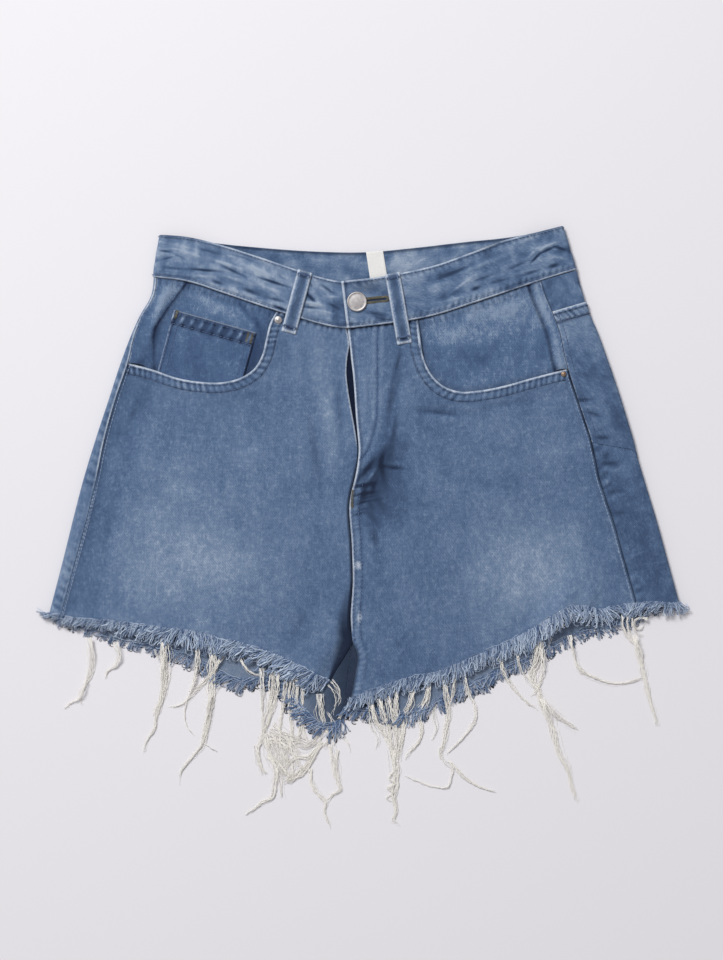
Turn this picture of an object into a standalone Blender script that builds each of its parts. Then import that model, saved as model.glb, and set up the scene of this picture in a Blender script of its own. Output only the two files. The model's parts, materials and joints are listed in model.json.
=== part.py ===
"""Cut-off denim shorts with frayed hems, laid flat on their back.

The frame: +Z up, +Y towards the waist, and the origin under the middle of the garment, on the
surface that it lies on. Left and right are as seen from above. Every cut piece is a wall of
cloth: an outer surface worked out from the tables below, and an inner one set back from it.
Tables and sizes are in millimetres.
"""

import bpy
import numpy as np

MM = 0.001

# Cloth and clearances
CLOTH = 1.2  # one layer of 12 oz denim
THIN_CLOTH = 1.0  # facings, patch pockets and fly shield
BAND_CLOTH = 2.0  # the waistband is folded double
LOOP_CLOTH = 1.4
SEAM = 0.35  # gap between two pieces at a seam
LAY = 0.3  # gap under a piece that lies on another

# Heights of the layers above the surface
LIFT = THIN_CLOTH + 0.4  # the back rides this high over its patch pockets and loops
SIDE_TOP = 6.2  # outer cloth where the sides fold round
FACING_TOP = 4.2
BAND_TOP = 6.9
UNDERLAP_TOP = 6.3  # button end of the waistband, under the buttonhole end
OVERLAP_TOP = 8.6
SHIELD_TOP = 3.8
ZIP_TOP = 4.7
INSEAM_TOP = 2.9  # inner leg seam of the left leg, at the foot of its slope

# Side folds and side seams down the garment: y, left fold, left seam, right seam, right fold
SIDES = [
    (220, -178.4, -175.8, 147.5, 180.4),
    (196, -181.4, -178.8, 154.3, 186.8),
    (180, -190.6, -188.0, 161.2, 191.3),
    (166, -197.0, -194.0, 166.2, 197.3),
    (142, -206.2, -200.0, 171.4, 206.0),
    (108, -217.4, -211.4, 181.9, 217.5),
    (74, -228.6, -220.8, 193.1, 227.9),
    (40, -238.9, -227.8, 200.6, 238.5),
    (6, -247.7, -235.9, 211.7, 248.9),
    (-28, -256.1, -245.1, 221.3, 258.3),
    (-62, -264.9, -254.4, 230.8, 267.6),
]
FOLD = {-1: 1, 1: 4}  # column of SIDES for each side
SIDE_SEAM = {-1: 2, 1: 3}

# Fly edge and front rise, down to the crotch: y, x of the edge, width of the open slit beside it
CENTRE = [
    (170, -14.4, 0.0),
    (149, -11.7, 0.4),
    (140, -10.9, 3.6),
    (127, -9.3, 4.8),
    (108, -8.0, 3.6),
    (90, -6.8, 1.6),
    (62, -4.8, 0.2),
    (47, -6.8, 0.0),
    (22, -12.3, 0.0),
    (-13, -10.7, 0.0),
    (-47, -9.7, 0.0),
    (-80, -11.4, 0.0),
    (-104, -8.9, 0.0),
]
CROTCH = -99.0

# Front waistband: x, top edge, seam edge
WAIST = {
    -1: [
        (-180, 249.0, 212.6),
        (-150, 246.6, 208.6),
        (-120, 239.4, 199.0),
        (-90, 230.0, 188.8),
        (-60, 219.8, 179.3),
        (-40, 213.4, 173.4),
        (-24, 209.6, 169.8),
        (-14, 208.6, 169.0),
        (0, 209.2, 171.0),
        (14, 211.5, 172.6),
    ],
    1: [
        (-20, 208.9, 168.2),
        (11, 212.3, 171.7),
        (35, 216.7, 174.9),
        (60, 222.5, 180.0),
        (90, 233.0, 189.4),
        (120, 244.0, 199.4),
        (150, 251.4, 209.5),
        (180, 259.0, 218.8),
    ],
}

# Back waistband: x, top edge, seam edge
BACK_WAIST = [
    (-180, 249.0, 212.6),
    (-150, 245.0, 207.5),
    (-125, 241.4, 202.5),
    (-86, 237.5, 197.3),
    (-45, 234.6, 194.0),
    (5, 234.0, 193.2),
    (41, 237.3, 196.0),
    (91, 243.0, 202.0),
    (115, 245.4, 205.5),
    (150, 251.0, 212.0),
    (180, 259.0, 218.8),
]

# Hem lines: x, front hem, back hem
HEM = {
    -1: [
        (-268, -73.0, -76.0),
        (-244, -78.2, -84.5),
        (-212, -80.4, -92.5),
        (-179, -85.9, -101.2),
        (-147, -89.1, -111.0),
        (-121, -95.5, -124.5),
        (-106, -99.5, -131.0),
        (-90, -104.5, -128.5),
        (-70, -111.8, -133.0),
        (-54, -119.0, -152.0),
        (-34, -130.0, -168.5),
        (-17, -139.0, -165.0),
    ],
    1: [
        (-16, -148.5, -153.0),
        (14, -136.9, -156.0),
        (41, -128.4, -158.0),
        (63, -123.8, -147.0),
        (90, -112.4, -134.0),
        (120, -99.5, -120.0),
        (146, -85.8, -108.0),
        (160, -76.5, -101.0),
        (176, -68.7, -93.0),
        (186, -66.5, -88.5),
        (196, -71.5, -86.0),
        (207, -69.5, -86.0),
        (227, -65.5, -78.0),
        (250, -67.0, -70.0),
        (268, -63.0, -64.0),
    ],
}

# Pocket mouths, from the waistband seam round to the side seam: x, y
MOUTH = {
    -1: [
        (-74.3, 183.0),
        (-79.6, 174.0),
        (-83.3, 160.0),
        (-86.8, 146.0),
        (-93.5, 134.6),
        (-104.5, 127.2),
        (-120.0, 123.2),
        (-138.0, 123.4),
        (-158.0, 126.6),
        (-179.4, 133.8),
        (-199.6, 139.4),
    ],
    1: [
        (45.9, 176.5),
        (47.4, 160.0),
        (50.2, 146.0),
        (56.6, 131.0),
        (67.0, 120.4),
        (80.5, 115.4),
        (98.6, 116.2),
        (120.2, 120.4),
        (141.5, 126.4),
        (158.6, 130.9),
        (172.4, 134.4),
    ],
}

# Inner leg of the front panels, from the crotch to the hem: x, y
FRONT_INSEAM = {
    -1: [(-13.5, -105.5), (-18.0, -113.0), (-23.4, -121.5), (-29.0, -131.5)],
    1: [(-5.6, -109.5), (-7.2, -123.0), (-9.2, -135.5), (-11.6, -146.6)],
}

# Middle back seam at the waistband and at the crotch, then the inner fold of each leg: x, y
BACK_MIDDLE = [(8.3, 192.6), (-10.9, -99.0)]
BACK_LEG = {
    -1: [(-14.4, -113.0), (-17.4, -138.0), (-17.6, -164.8)],
    1: [(-11.0, -115.0), (-14.2, -138.0), (-15.8, -153.2)],
}

# Pocket facings: plan lines of the inner edge under the front, and of the lower edge
FACING_INNER = {-1: [(-63.0, 179.0), (-76.0, 122.0)], 1: [(38.0, 175.0), (46.0, 112.0)]}
FACING_LOWER = {
    -1: [(-100, 113), (-136, 110), (-162, 115), (-178, 124), (-187.5, 137.4)],
    1: [(70, 103), (98, 104), (125, 108), (148, 114), (160, 122), (164.5, 133.4)],
}
# Valley in the left facing beside the coin pocket: y, x
LEFT_VALLEY = [(205, -154.0), (186, -162.5), (166, -170.0), (138, -184.0)]
COIN_POCKET = [[(-91.0, 165.3), (-161.6, 185.0)], [(-104.0, 119.0), (-178.0, 124.0)]]

# Belt loops: x and y of the top and of the foot
LOOP_WIDTH = 12.7
FRONT_LOOPS = {
    "left": ((-50.0, 217.4), (-64.2, 165.0)),
    "right": ((24.0, 215.5), (34.6, 155.6)),
}
BACK_LOOPS = {"left": -92.0, "centre": 8.0, "right": 104.0}

FLY_SHIELD = [[(-27.0, 176.0), (15.0, 176.0)], [(-23.0, 26.0), (4.0, 26.0)]]
ZIP = [[(-13.5, 166.0), (10.5, 166.0)], [(-13.5, 44.0), (8.0, 44.0)]]
ZIP_CLOTH = 0.6

BUTTON_AT = (-6.0, 191.3)
RIVETS = {"left": (-72.9, 176.0, 3.4, 1.1), "right": (169.6, 130.0, 2.3, 0.9)}  # x, y, radius, gap
LABEL = [[(1.7, 234.0), (16.2, 235.2)], [(6.3, 204.0), (21.0, 205.6)]]

# Largest folds of the upper side: x, y, half length, half width, turn in degrees, rise
FOLDS = [
    (4.0, 118.0, 50.0, 9.0, 93.0, 1.2),  # over the fly facing
    (16.0, 60.0, 24.0, 6.5, 58.0, 1.3),  # from the foot of the fly up to the pocket
    (16.0, 34.0, 30.0, 7.0, 62.0, -0.9),
    (60.0, 96.0, 24.0, 6.0, 6.0, -0.9),  # under the right pocket mouth
    (-52.0, 92.0, 58.0, 15.0, 97.0, 0.8),  # down the left front
    (-36.0, -108.0, 36.0, 12.0, 62.0, 1.4),  # inner edge of the left leg
    (2.0, -120.0, 30.0, 8.0, 80.0, 0.8),  # inner edge of the right leg
    (166.0, -74.0, 30.0, 13.0, 60.0, 4.6),  # hem that stands up on the right leg
    (190.0, -66.0, 16.0, 6.0, 70.0, 2.0),
    (126.0, -92.0, 22.0, 12.0, 70.0, -0.6),
    (240.0, -60.0, 40.0, 12.0, 75.0, 0.8),
    (-118.0, -88.0, 20.0, 24.0, 80.0, 0.7),  # slack hem on the left leg
    (-200.0, -80.0, 20.0, 22.0, 85.0, 0.6),
]

# Loose threads long enough to reach past the fringe: strip, x at the hem, x and y of the tip
LONG_THREADS = [
    ("front_left", -214, -222, -131),
    ("front_left", -177, -190, -195),
    ("front_left", -147, -154, -178),
    ("front_left", -125, -156, -217),
    ("front_left", -92, -103, -232),
    ("front_left", -78, -92, -246),
    ("front_left", -62, -60, -200),
    ("front_left", -45, -48, -222),
    ("front_left", -33, -26, -255.5),
    ("front_right", 12, 24, -252),
    ("front_right", 26, 36, -226),
    ("front_right", 48, 50, -205),
    ("front_right", 70, 100, -222),
    ("front_right", 116, 136, -152),
    ("front_right", 148, 170, -226),
    ("front_right", 232, 246, -156),
]


# ---------------------------------------------------------------- curves and surfaces


def smooth(rows, at, column):
    """One column of a table, read at `at` on a smooth curve through its rows."""
    rows = np.array(rows, float)
    rows = rows[rows[:, 0].argsort()]
    place, value = rows[:, 0], rows[:, column]
    slope = np.gradient(value, place)
    at = np.asarray(at, float)
    low = np.clip(np.searchsorted(place, at) - 1, 0, len(place) - 2)
    span = place[low + 1] - place[low]
    t = np.clip((at - place[low]) / span, 0, 1)
    start = (1 + 2 * t) * (1 - t) ** 2 * value[low] + t * (1 - t) ** 2 * span * slope[low]
    end = t * t * (3 - 2 * t) * value[low + 1] - t * t * (1 - t) * span * slope[low + 1]
    before = np.minimum(at - place[0], 0) * slope[0]
    after = np.maximum(at - place[-1], 0) * slope[-1]
    return start + end + before + after


def path(points, shares):
    """Points on a smooth plan curve through `points`, at shares of its length."""
    points = np.array(points, float)
    along = np.concatenate([[0], np.cumsum(np.hypot(*np.diff(points, axis=0).T))])
    table = np.column_stack([along / along[-1], points])
    return np.column_stack([smooth(table, shares, 1), smooth(table, shares, 2)])


def ease(t):
    """0 to 1 with level ends."""
    t = np.clip(t, 0, 1)
    return t * t * (3 - 2 * t)


def mix(a, b, t):
    return a + (b - a) * t


def coons(top, bottom, start, end, across, down):
    """Plan points of a patch inside four edges: rows go down, columns across."""
    u = np.array(across)[None, :, None]
    v = np.array(down)[:, None, None]
    sides = mix(start[:, None], end[:, None], u)
    edges = mix(top[None], bottom[None], v)
    corners = mix(mix(top[0], top[-1], u), mix(bottom[0], bottom[-1], u), v)
    return sides + edges - corners


def seam_end(side, line, column, start):
    """y where the side seam meets the front waistband or the front hem."""
    y = start
    for _ in range(8):
        y = float(smooth(line, smooth(SIDES, y, SIDE_SEAM[side]), column))
    return y


def seam_head(side):
    return seam_end(side, WAIST[side], 2, 210.0) - SEAM


def seam_foot(side):
    return seam_end(side, HEM[side], 1, -70.0)


def fold_relief(x, y):
    """Sum of the folds of the upper side at a plan point."""
    relief = np.zeros(np.broadcast(x, y).shape)
    for at_x, at_y, length, width, turn, rise in FOLDS:
        angle = np.radians(turn)
        along = (x - at_x) * np.cos(angle) + (y - at_y) * np.sin(angle)
        aside = (y - at_y) * np.cos(angle) - (x - at_x) * np.sin(angle)
        relief = relief + rise * np.exp(-((along / length) ** 2) - (aside / width) ** 2)
    return relief


def top_height(x, y):
    """Height of the outer cloth on the upper side."""
    return SIDE_TOP + fold_relief(x, y)


def normals(grid, upward, columns=slice(None)):
    """Unit normals of a grid, turned so that the named part of it faces up, or down."""
    across = np.gradient(grid, axis=1)
    down = np.gradient(grid, axis=0)
    normal = np.cross(across, down)
    normal /= np.linalg.norm(normal, axis=2, keepdims=True)
    if (normal[:, columns, 2].mean() > 0) != upward:
        normal = -normal
    return normal


# ---------------------------------------------------------------- making solids


def material(name, colour, roughness, metallic=0.0):
    """A plain finish; colour is an sRGB hex value."""
    made = bpy.data.materials.new(name)
    made.use_nodes = True
    shader = made.node_tree.nodes["Principled BSDF"]
    parts = [int(colour[i : i + 2], 16) / 255 for i in (0, 2, 4)]
    linear = [c / 12.92 if c <= 0.04045 else ((c + 0.055) / 1.055) ** 2.4 for c in parts]
    shader.inputs["Base Color"].default_value = (*linear, 1.0)
    shader.inputs["Roughness"].default_value = roughness
    shader.inputs["Metallic"].default_value = metallic
    made.diffuse_color = (*linear, 1.0)
    return made


def add_object(name, points, faces, finish, smooth_shading=True):
    """A mesh object from points in millimetres, with its faces turned outwards."""
    mesh = bpy.data.meshes.new(name)
    mesh.from_pydata([tuple(float(c) * MM for c in point) for point in points], [], faces)
    mesh.materials.append(finish)
    if signed_volume(mesh) < 0:
        mesh.flip_normals()
    if smooth_shading:
        mesh.shade_smooth()
        mesh.set_sharp_from_angle(angle=np.radians(50))
    made = bpy.data.objects.new(name, mesh)
    bpy.context.scene.collection.objects.link(made)
    return made


def signed_volume(mesh):
    """Positive where the faces of a closed mesh point outwards."""
    mesh.calc_loop_triangles()
    total = 0.0
    for triangle in mesh.loop_triangles:
        a, b, c = (mesh.vertices[i].co for i in triangle.vertices)
        total += a.dot(b.cross(c))
    return total


def wall(name, outer, inner, finish):
    """A closed wall between two grids of points."""
    rows, columns = outer.shape[:2]
    count = rows * columns
    index = np.arange(count).reshape(rows, columns)
    faces = []
    for r in range(rows - 1):
        for c in range(columns - 1):
            quad = (index[r, c], index[r, c + 1], index[r + 1, c + 1], index[r + 1, c])
            faces.append([int(i) for i in quad])
            faces.append([int(i) + count for i in reversed(quad)])
    rim = list(index[0, :]) + list(index[1:, -1]) + list(index[-1, -2::-1]) + list(index[-2:0:-1, 0])
    for a, b in zip(rim, rim[1:] + rim[:1]):
        faces.append([int(b), int(a), int(a) + count, int(b) + count])
    points = np.concatenate([outer.reshape(-1, 3), inner.reshape(-1, 3)])
    return add_object(name, points, faces, finish)


def turned(name, profile, centre, finish, sides=20):
    """A round piece from a profile of radius and height, closed on its axis at both ends."""
    points, faces = [(centre[0], centre[1], centre[2] + profile[0][1])], []
    for radius, height in profile[1:-1]:
        for k in range(sides):
            angle = 2 * np.pi * k / sides
            x = centre[0] + radius * np.cos(angle)
            points.append((x, centre[1] + radius * np.sin(angle), centre[2] + height))
    points.append((centre[0], centre[1], centre[2] + profile[-1][1]))
    last = len(points) - 1
    rings = len(profile) - 2
    for k in range(sides):
        after = (k + 1) % sides
        faces.append([0, 1 + after, 1 + k])
        for ring in range(rings - 1):
            low, high = 1 + ring * sides, 1 + (ring + 1) * sides
            faces.append([low + k, low + after, high + after, high + k])
        high = 1 + (rings - 1) * sides
        faces.append([high + k, high + after, last])
    return add_object(name, points, faces, finish)


# ---------------------------------------------------------------- front panels


FRONT_ACROSS = 17
FRONT_DOWN = [0.0, 0.035, 0.085, 0.15, 0.22, 0.29, 0.36, 0.43, 0.5, 0.57, 0.64, 0.71, 0.78, 0.84]
FRONT_DOWN += [0.89, 0.93, 0.965, 1.0]
MOUTH_RISE = 0.8  # the turned edge of a pocket mouth stands this much higher


def front_edges(side):
    """Plan curves of a front panel: waist and mouth, hem, middle and inner leg, side seam."""
    mouth = MOUTH[side]
    top_y = smooth(WAIST[side], mouth[0][0], 2) - SEAM
    middle_top = smooth(CENTRE, 169.0, 1)
    waist_x = np.linspace(middle_top, mouth[0][0], 5)
    waist = [(x, smooth(WAIST[side], x, 2) - SEAM) for x in waist_x]
    mouth = [(mouth[0][0], top_y)] + mouth[1:]

    heights = np.linspace(waist[0][1], CROTCH, 22)
    edge = smooth(CENTRE, heights, 1) + side * SEAM / 2
    if side < 0:
        edge = edge - smooth(CENTRE, heights, 2) - SEAM * 0.8
    waist[0] = (edge[0], waist[0][1])
    middle = list(zip(edge, heights)) + FRONT_INSEAM[side]

    seam_y = np.linspace(mouth[-1][1], seam_foot(side), 12)
    seam = [(smooth(SIDES, y, SIDE_SEAM[side]) - side * SEAM / 2, y) for y in seam_y]
    mouth[-1] = seam[0]
    hem_x = np.linspace(middle[-1][0], seam[-1][0], 24)
    hem = [(x, smooth(HEM[side], x, 1)) for x in hem_x]
    hem[0], hem[-1] = middle[-1], seam[-1]
    return waist, mouth, hem, middle, seam


def front_panel(side, across, down):
    """Outer surface of a front panel, and the share across where its pocket mouth starts."""
    waist, mouth, hem, middle, seam = front_edges(side)
    waist_length = abs(waist[-1][0] - waist[0][0])
    mouth_length = np.hypot(*np.diff(np.array(mouth), axis=0).T).sum()
    corner = waist_length / (waist_length + mouth_length)
    across = np.array(across)
    if not np.isclose(across, corner).any():
        across = across.copy()
        across[np.abs(across - corner).argmin()] = corner
    on_waist = path(waist, np.clip(across / corner, 0, 1))
    on_mouth = path(mouth, np.clip((across - corner) / (1 - corner), 0, 1))
    top = np.where((across <= corner)[:, None], on_waist, on_mouth)
    plan = coons(top, path(hem, across), path(middle, down), path(seam, down), across, down)
    x, y = plan[..., 0], plan[..., 1]
    height = top_height(x, y)

    from_mouth = np.hypot(x - x[0], y - y[0])
    edge_share = ease((across - corner + 0.02) / 0.04) * (1 - ease((across - 0.93) / 0.06))
    height += MOUTH_RISE * edge_share * (1 - ease((from_mouth - 8) / 14))

    from_middle = np.hypot(x - x[:, :1], y - y[:, :1])
    if side < 0:
        slope = (1 - ease(from_middle / 15)) * ease((-64 - y) / 34)
        height = mix(height, np.minimum(height, INSEAM_TOP), slope)
    else:
        rolled = (1 - ease(from_middle / 5)) * ease((-96 - y) / 14)
        height -= 2.5 * rolled
    return np.dstack([x, y, height]), corner


def add_front(name, side, finish):
    grid, _ = front_panel(side, np.linspace(0, 1, FRONT_ACROSS), FRONT_DOWN)
    inner = grid - CLOTH * normals(grid, upward=True)
    return wall(name, grid, inner, finish)


# ---------------------------------------------------------------- back panels


BACK_DOWN = [0.0, 0.04, 0.09, 0.16, 0.24, 0.33, 0.42, 0.5, 0.58, 0.66, 0.74, 0.81, 0.87, 0.93, 1.0]
FLOOR_SHARES = [0.12, 0.25, 0.375, 0.5, 0.6, 0.7, 0.8, 0.9, 1.0]
ROUND_SHARES = [0.22, 0.45, 0.68, 0.86, 0.92, 0.96, 1.0]  # round the side fold
RUN_SHARES = [0.0, 0.0, 0.0, 0.06, 0.38, 0.7, 1.0]  # from the fold in to the side seam
POCKET_FOOT = 8  # row of BACK_DOWN at the foot of the patch pockets
POCKET_TOP, POCKET_SIDE, POCKET_POINT = 0.095, 0.5, 0.57  # shares down the back
POCKET_COLUMNS = {-1: (1, 7), 1: (3, 8)}  # their first and last columns of FLOOR_SHARES


def back_lift(side, across, down):
    """How high the back rides over the patch pocket and the waistband loops under it."""
    first, last = POCKET_COLUMNS[side]
    low, high = FLOOR_SHARES[first], FLOOR_SHARES[last]
    inside = ease((across - low + 0.13) / 0.12)
    if high < 1:
        inside = inside * (1 - ease((across - high - 0.01) / 0.09))
    over_pocket = inside * (1 - ease((down - BACK_DOWN[POCKET_FOOT] - 0.01) / 0.06))
    under_band = 1 - ease((down - 0.05) / 0.05)
    return LIFT * np.maximum(over_pocket, under_band)


def side_fold(side, row_share, shares_round, shares_run):
    """Points of one row of a back panel, from the surface round the side fold to the side seam."""
    fold_y = side_fold_y(side, row_share)
    fold_x = smooth(SIDES, fold_y, FOLD[side])
    seam_y = mix(seam_head(side), seam_foot(side), row_share)
    seam_x = smooth(SIDES, seam_y, SIDE_SEAM[side]) + side * SEAM / 2
    lift = float(back_lift(side, 1.0, row_share))
    radius = (SIDE_TOP - lift) / 2
    reach = max(abs(fold_x - seam_x), 0.02)
    turn = np.pi - np.arcsin(max(1 - reach / radius, 0)) if reach < radius else np.pi
    run = max(reach - radius, 0)
    points = []
    for share, run_share in zip(shares_round, shares_run):
        angle = turn * share
        inward = radius * (1 - np.sin(angle)) + run * run_share
        x = fold_x - side * inward
        y = mix(fold_y, seam_y, min(inward / reach, 1) if angle > np.pi / 2 else 0)
        height = lift + radius * (1 - np.cos(angle))
        height += (top_height(x, y) - SIDE_TOP) * ease(angle / (np.pi / 2) - 1)
        points.append((x, y, height))
    return points


def side_fold_y(side, shares):
    """Height up the garment of a row of the back panel, where it meets the side fold."""
    waist = smooth(BACK_WAIST, side * 179.2, 2) - SEAM
    hem = smooth(HEM[side], side * 266.0, 1) - 1.5
    return mix(waist, hem, np.array(shares))


def back_inner(side, shares):
    """Inner edge of a back panel: the middle seam, then the inner fold of the leg."""
    waist, crotch = (np.array(point) for point in BACK_MIDDLE)
    middle = [mix(waist, crotch, t) + (side * SEAM, 0) for t in np.linspace(0, 1, 8)]
    return path(middle + BACK_LEG[side], shares)


def back_floor(side, across, down):
    """Plan points of the part of a back panel that lies on the surface."""
    fold_y = side_fold_y(side, down)
    lift = np.array([float(back_lift(side, 1.0, v)) for v in down])
    outer = np.column_stack([smooth(SIDES, fold_y, FOLD[side]) - side * (SIDE_TOP - lift) / 2, fold_y])
    inner = back_inner(side, down)
    top_x = mix(inner[0, 0], outer[0, 0], np.array(across))
    top = np.column_stack([top_x, smooth(BACK_WAIST, top_x, 2) - SEAM])
    hem_x = mix(inner[-1, 0], outer[-1, 0], np.array(across))
    hem = np.column_stack([hem_x, smooth(HEM[side], hem_x, 2)])
    inner[0], outer[0] = top[0], top[-1]
    inner[-1], outer[-1] = hem[0], hem[-1]
    return coons(top, hem, inner, outer, across, down)


def back_panel(side):
    """Outer surface of a back panel, from its inner edge under the leg and round to the side seam."""
    across = [0.0] + FLOOR_SHARES
    floor = back_floor(side, across, BACK_DOWN)
    rows = []
    for r, share in enumerate(BACK_DOWN):
        lifts = back_lift(side, np.array(across), share)
        ground = [(*point, lift) for point, lift in zip(floor[r], lifts)]
        rows.append(ground + side_fold(side, share, ROUND_SHARES, RUN_SHARES))
    return np.array(rows)


def add_back(name, side, finish):
    grid = back_panel(side)
    normal = normals(grid, upward=False, columns=slice(0, 8))
    return wall(name, grid, grid - CLOTH * normal, finish)


def add_back_pocket(name, side, finish):
    """A patch pocket on a back panel, made from the panel's own points, moved out."""
    grid = back_panel(side)
    normal = normals(grid, upward=False, columns=slice(0, 8))
    first, last = POCKET_COLUMNS[side]
    columns = list(range(first + 1, last + 2))
    if side > 0:
        columns += [last + 1 + k for k in range(1, len(ROUND_SHARES))]
    middle = (len(columns) - 1) / 2
    points, outward = [], []
    for row_share in np.linspace(0, 1, 7):
        line, line_normal = [], []
        for k, column in enumerate(columns):
            foot = POCKET_SIDE + (POCKET_POINT - POCKET_SIDE) * (1 - abs(k - middle) / middle)
            down = mix(POCKET_TOP, foot, row_share)
            line.append([np.interp(down, BACK_DOWN, grid[:, column, i]) for i in range(3)])
            line_normal.append([np.interp(down, BACK_DOWN, normal[:, column, i]) for i in range(3)])
        points.append(line)
        outward.append(line_normal)
    points, outward = np.array(points), np.array(outward)
    return wall(name, points + LIFT * outward, points + (LIFT - THIN_CLOTH) * outward, finish)


# ---------------------------------------------------------------- pocket facings and fly


FACING_ACROSS = [0.0, 0.14, 0.29, 0.44, 0.58, 0.7, 0.8, 0.88, 0.93, 0.965, 0.985, 0.994, 1.0]


def facing_height(side, x, y):
    """Outer height of a pocket facing: low behind the mouth, up at the waist and the side."""
    if side < 0:
        ridge = ease((smooth(LEFT_VALLEY, y, 1) - 3 - x) / 9)
    else:
        ridge = ease((x - smooth(SIDES, y, SIDE_SEAM[side]) + 11) / 6)
    at_waist = 1 - ease((smooth(WAIST[side], x, 2) - y) / 12)
    height = mix(FACING_TOP + at_waist, SIDE_TOP, ridge)
    if side < 0:
        fold_y = side_fold_y(side, [0, 1])
        share = np.clip((fold_y[0] - y) / (fold_y[0] - fold_y[1]), 0, 1)
        lift = back_lift(side, 1.0, share)
        radius = (SIDE_TOP - lift) / 2
        inward = np.clip(x - smooth(SIDES, y, FOLD[side]), 0, radius)
        height = np.minimum(height, lift + radius + np.sqrt(radius**2 - (radius - inward) ** 2))
    return height


def facing_seam(side):
    """Plan points down the side edge of a facing, straight between the rows of the back panel."""
    foot = MOUTH[side][-1][1] + SEAM
    rows_y = mix(seam_head(side), seam_foot(side), np.array(BACK_DOWN))
    rows_x = smooth(SIDES, rows_y, SIDE_SEAM[side]) - side * SEAM / 2
    met = list(rows_y[rows_y > foot + 2]) + [foot]
    down_y = np.interp(np.arange(0, len(met) - 0.75, 0.5), np.arange(len(met)), met)
    return np.column_stack([np.interp(-down_y, -rows_y, rows_x), down_y])


def facing(side):
    """Outer surface of the cloth seen inside a front pocket mouth."""
    seam = facing_seam(side)
    inner = np.array(FACING_INNER[side])
    top_x = np.linspace(inner[0][0], seam[0][0], 12)
    top = [(x, smooth(WAIST[side], x, 2) - SEAM) for x in top_x]
    inner[0] = top[0]
    lower = [tuple(inner[-1])] + FACING_LOWER[side] + [seam[-1]]
    across = FACING_ACROSS
    down = (seam[0, 1] - seam[:, 1]) / (seam[0, 1] - seam[-1, 1])
    plan = coons(path(top, across), path(lower, across), path(inner, down), seam, across, down)
    return np.dstack([plan, facing_height(side, plan[..., 0], plan[..., 1])])


def add_facing(name, side, finish):
    grid = facing(side)
    return wall(name, grid, grid - THIN_CLOTH * normals(grid, upward=True), finish)


def level_patch(name, corners, columns, rows, top, thickness, finish):
    """A level four-cornered piece: corners are the far and near edges, each from inner to outer."""
    across, down = np.linspace(0, 1, columns), np.linspace(0, 1, rows)
    far, near = np.array(corners[0], float), np.array(corners[1], float)
    far_line = mix(far[0], far[1], across[:, None])
    near_line = mix(near[0], near[1], across[:, None])
    plan = mix(far_line[None], near_line[None], down[:, None, None])
    outer = np.dstack([plan, np.full(plan.shape[:2], top)])
    return wall(name, outer, outer - (0, 0, thickness), finish)


# ---------------------------------------------------------------- waistband and loops


BAND_ROWS = [0.0, 0.36, 0.7, 1.0]
BAND_CORNERS = {-1: (-174.2, -180.1), 1: (169.5, 181.0)}  # x of the side folds, top and seam edge
BAND_END = (-19.4, -14.5)  # x of the buttonhole end, top and seam edge
UNDERLAP_END = 13.0
BUTTONHOLE_END = (19.0, 193.8)
EYE, SLIT = 2.6, 0.7  # radius of the buttonhole's eye round the shank, and half the slit's width


def band_height(side, x):
    """Outer height of the front waistband, whose right end lies on the left one."""
    if side < 0:
        return mix(BAND_TOP, UNDERLAP_TOP, ease((x + 64) / 34))
    return mix(BAND_TOP, OVERLAP_TOP, ease((64 - x) / 40))


def waistband():
    """Outer surface of the waistband, from its button end round both sides to its buttonhole end."""
    radius = (BAND_TOP - LIFT) / 2
    left, right = BAND_CORNERS[-1], BAND_CORNERS[1]
    edges = []  # for each station: x, y of the top edge, x, y of the seam edge, height
    for share in np.linspace(0, 1, 15):
        x = [mix(UNDERLAP_END, corner + radius, share) for corner in left]
        edges.append(band_edges(WAIST[-1], x, band_height(-1, x[1])))
    for turn in (0.25, 0.5, 0.75):
        x = [corner + radius * (1 - np.sin(np.pi * turn)) for corner in left]
        edges.append(band_edges(WAIST[-1], x, LIFT + radius * (1 + np.cos(np.pi * turn))))
    for share in np.linspace(0, 1, 17):
        x = [mix(a + radius, b - radius, share) for a, b in zip(left, right)]
        edges.append(band_edges(BACK_WAIST, x, LIFT))
    for turn in (0.25, 0.5, 0.75):
        x = [corner - radius * (1 - np.sin(np.pi * turn)) for corner in right]
        edges.append(band_edges(WAIST[1], x, LIFT + radius * (1 - np.cos(np.pi * turn))))
    for share in np.linspace(0, 1, 16):
        x = [mix(corner - radius, end, share) for corner, end in zip(right, BAND_END)]
        edges.append(band_edges(WAIST[1], x, band_height(1, x[1])))
    edges = np.array(edges)
    rows = [np.column_stack([mix(edges[:, :2], edges[:, 2:4], row), edges[:, 4]]) for row in BAND_ROWS]
    return np.array(rows)


def band_edges(line, x, height):
    return x[0], smooth(line, x[0], 1), x[1], smooth(line, x[1], 2), height


def add_waistband(finish):
    grid = waistband()
    normal = normals(grid, upward=False, columns=slice(20, 33))
    band = wall("waistband", grid, grid - BAND_CLOTH * normal, finish)
    cut_buttonhole(band, finish)
    return band


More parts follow.
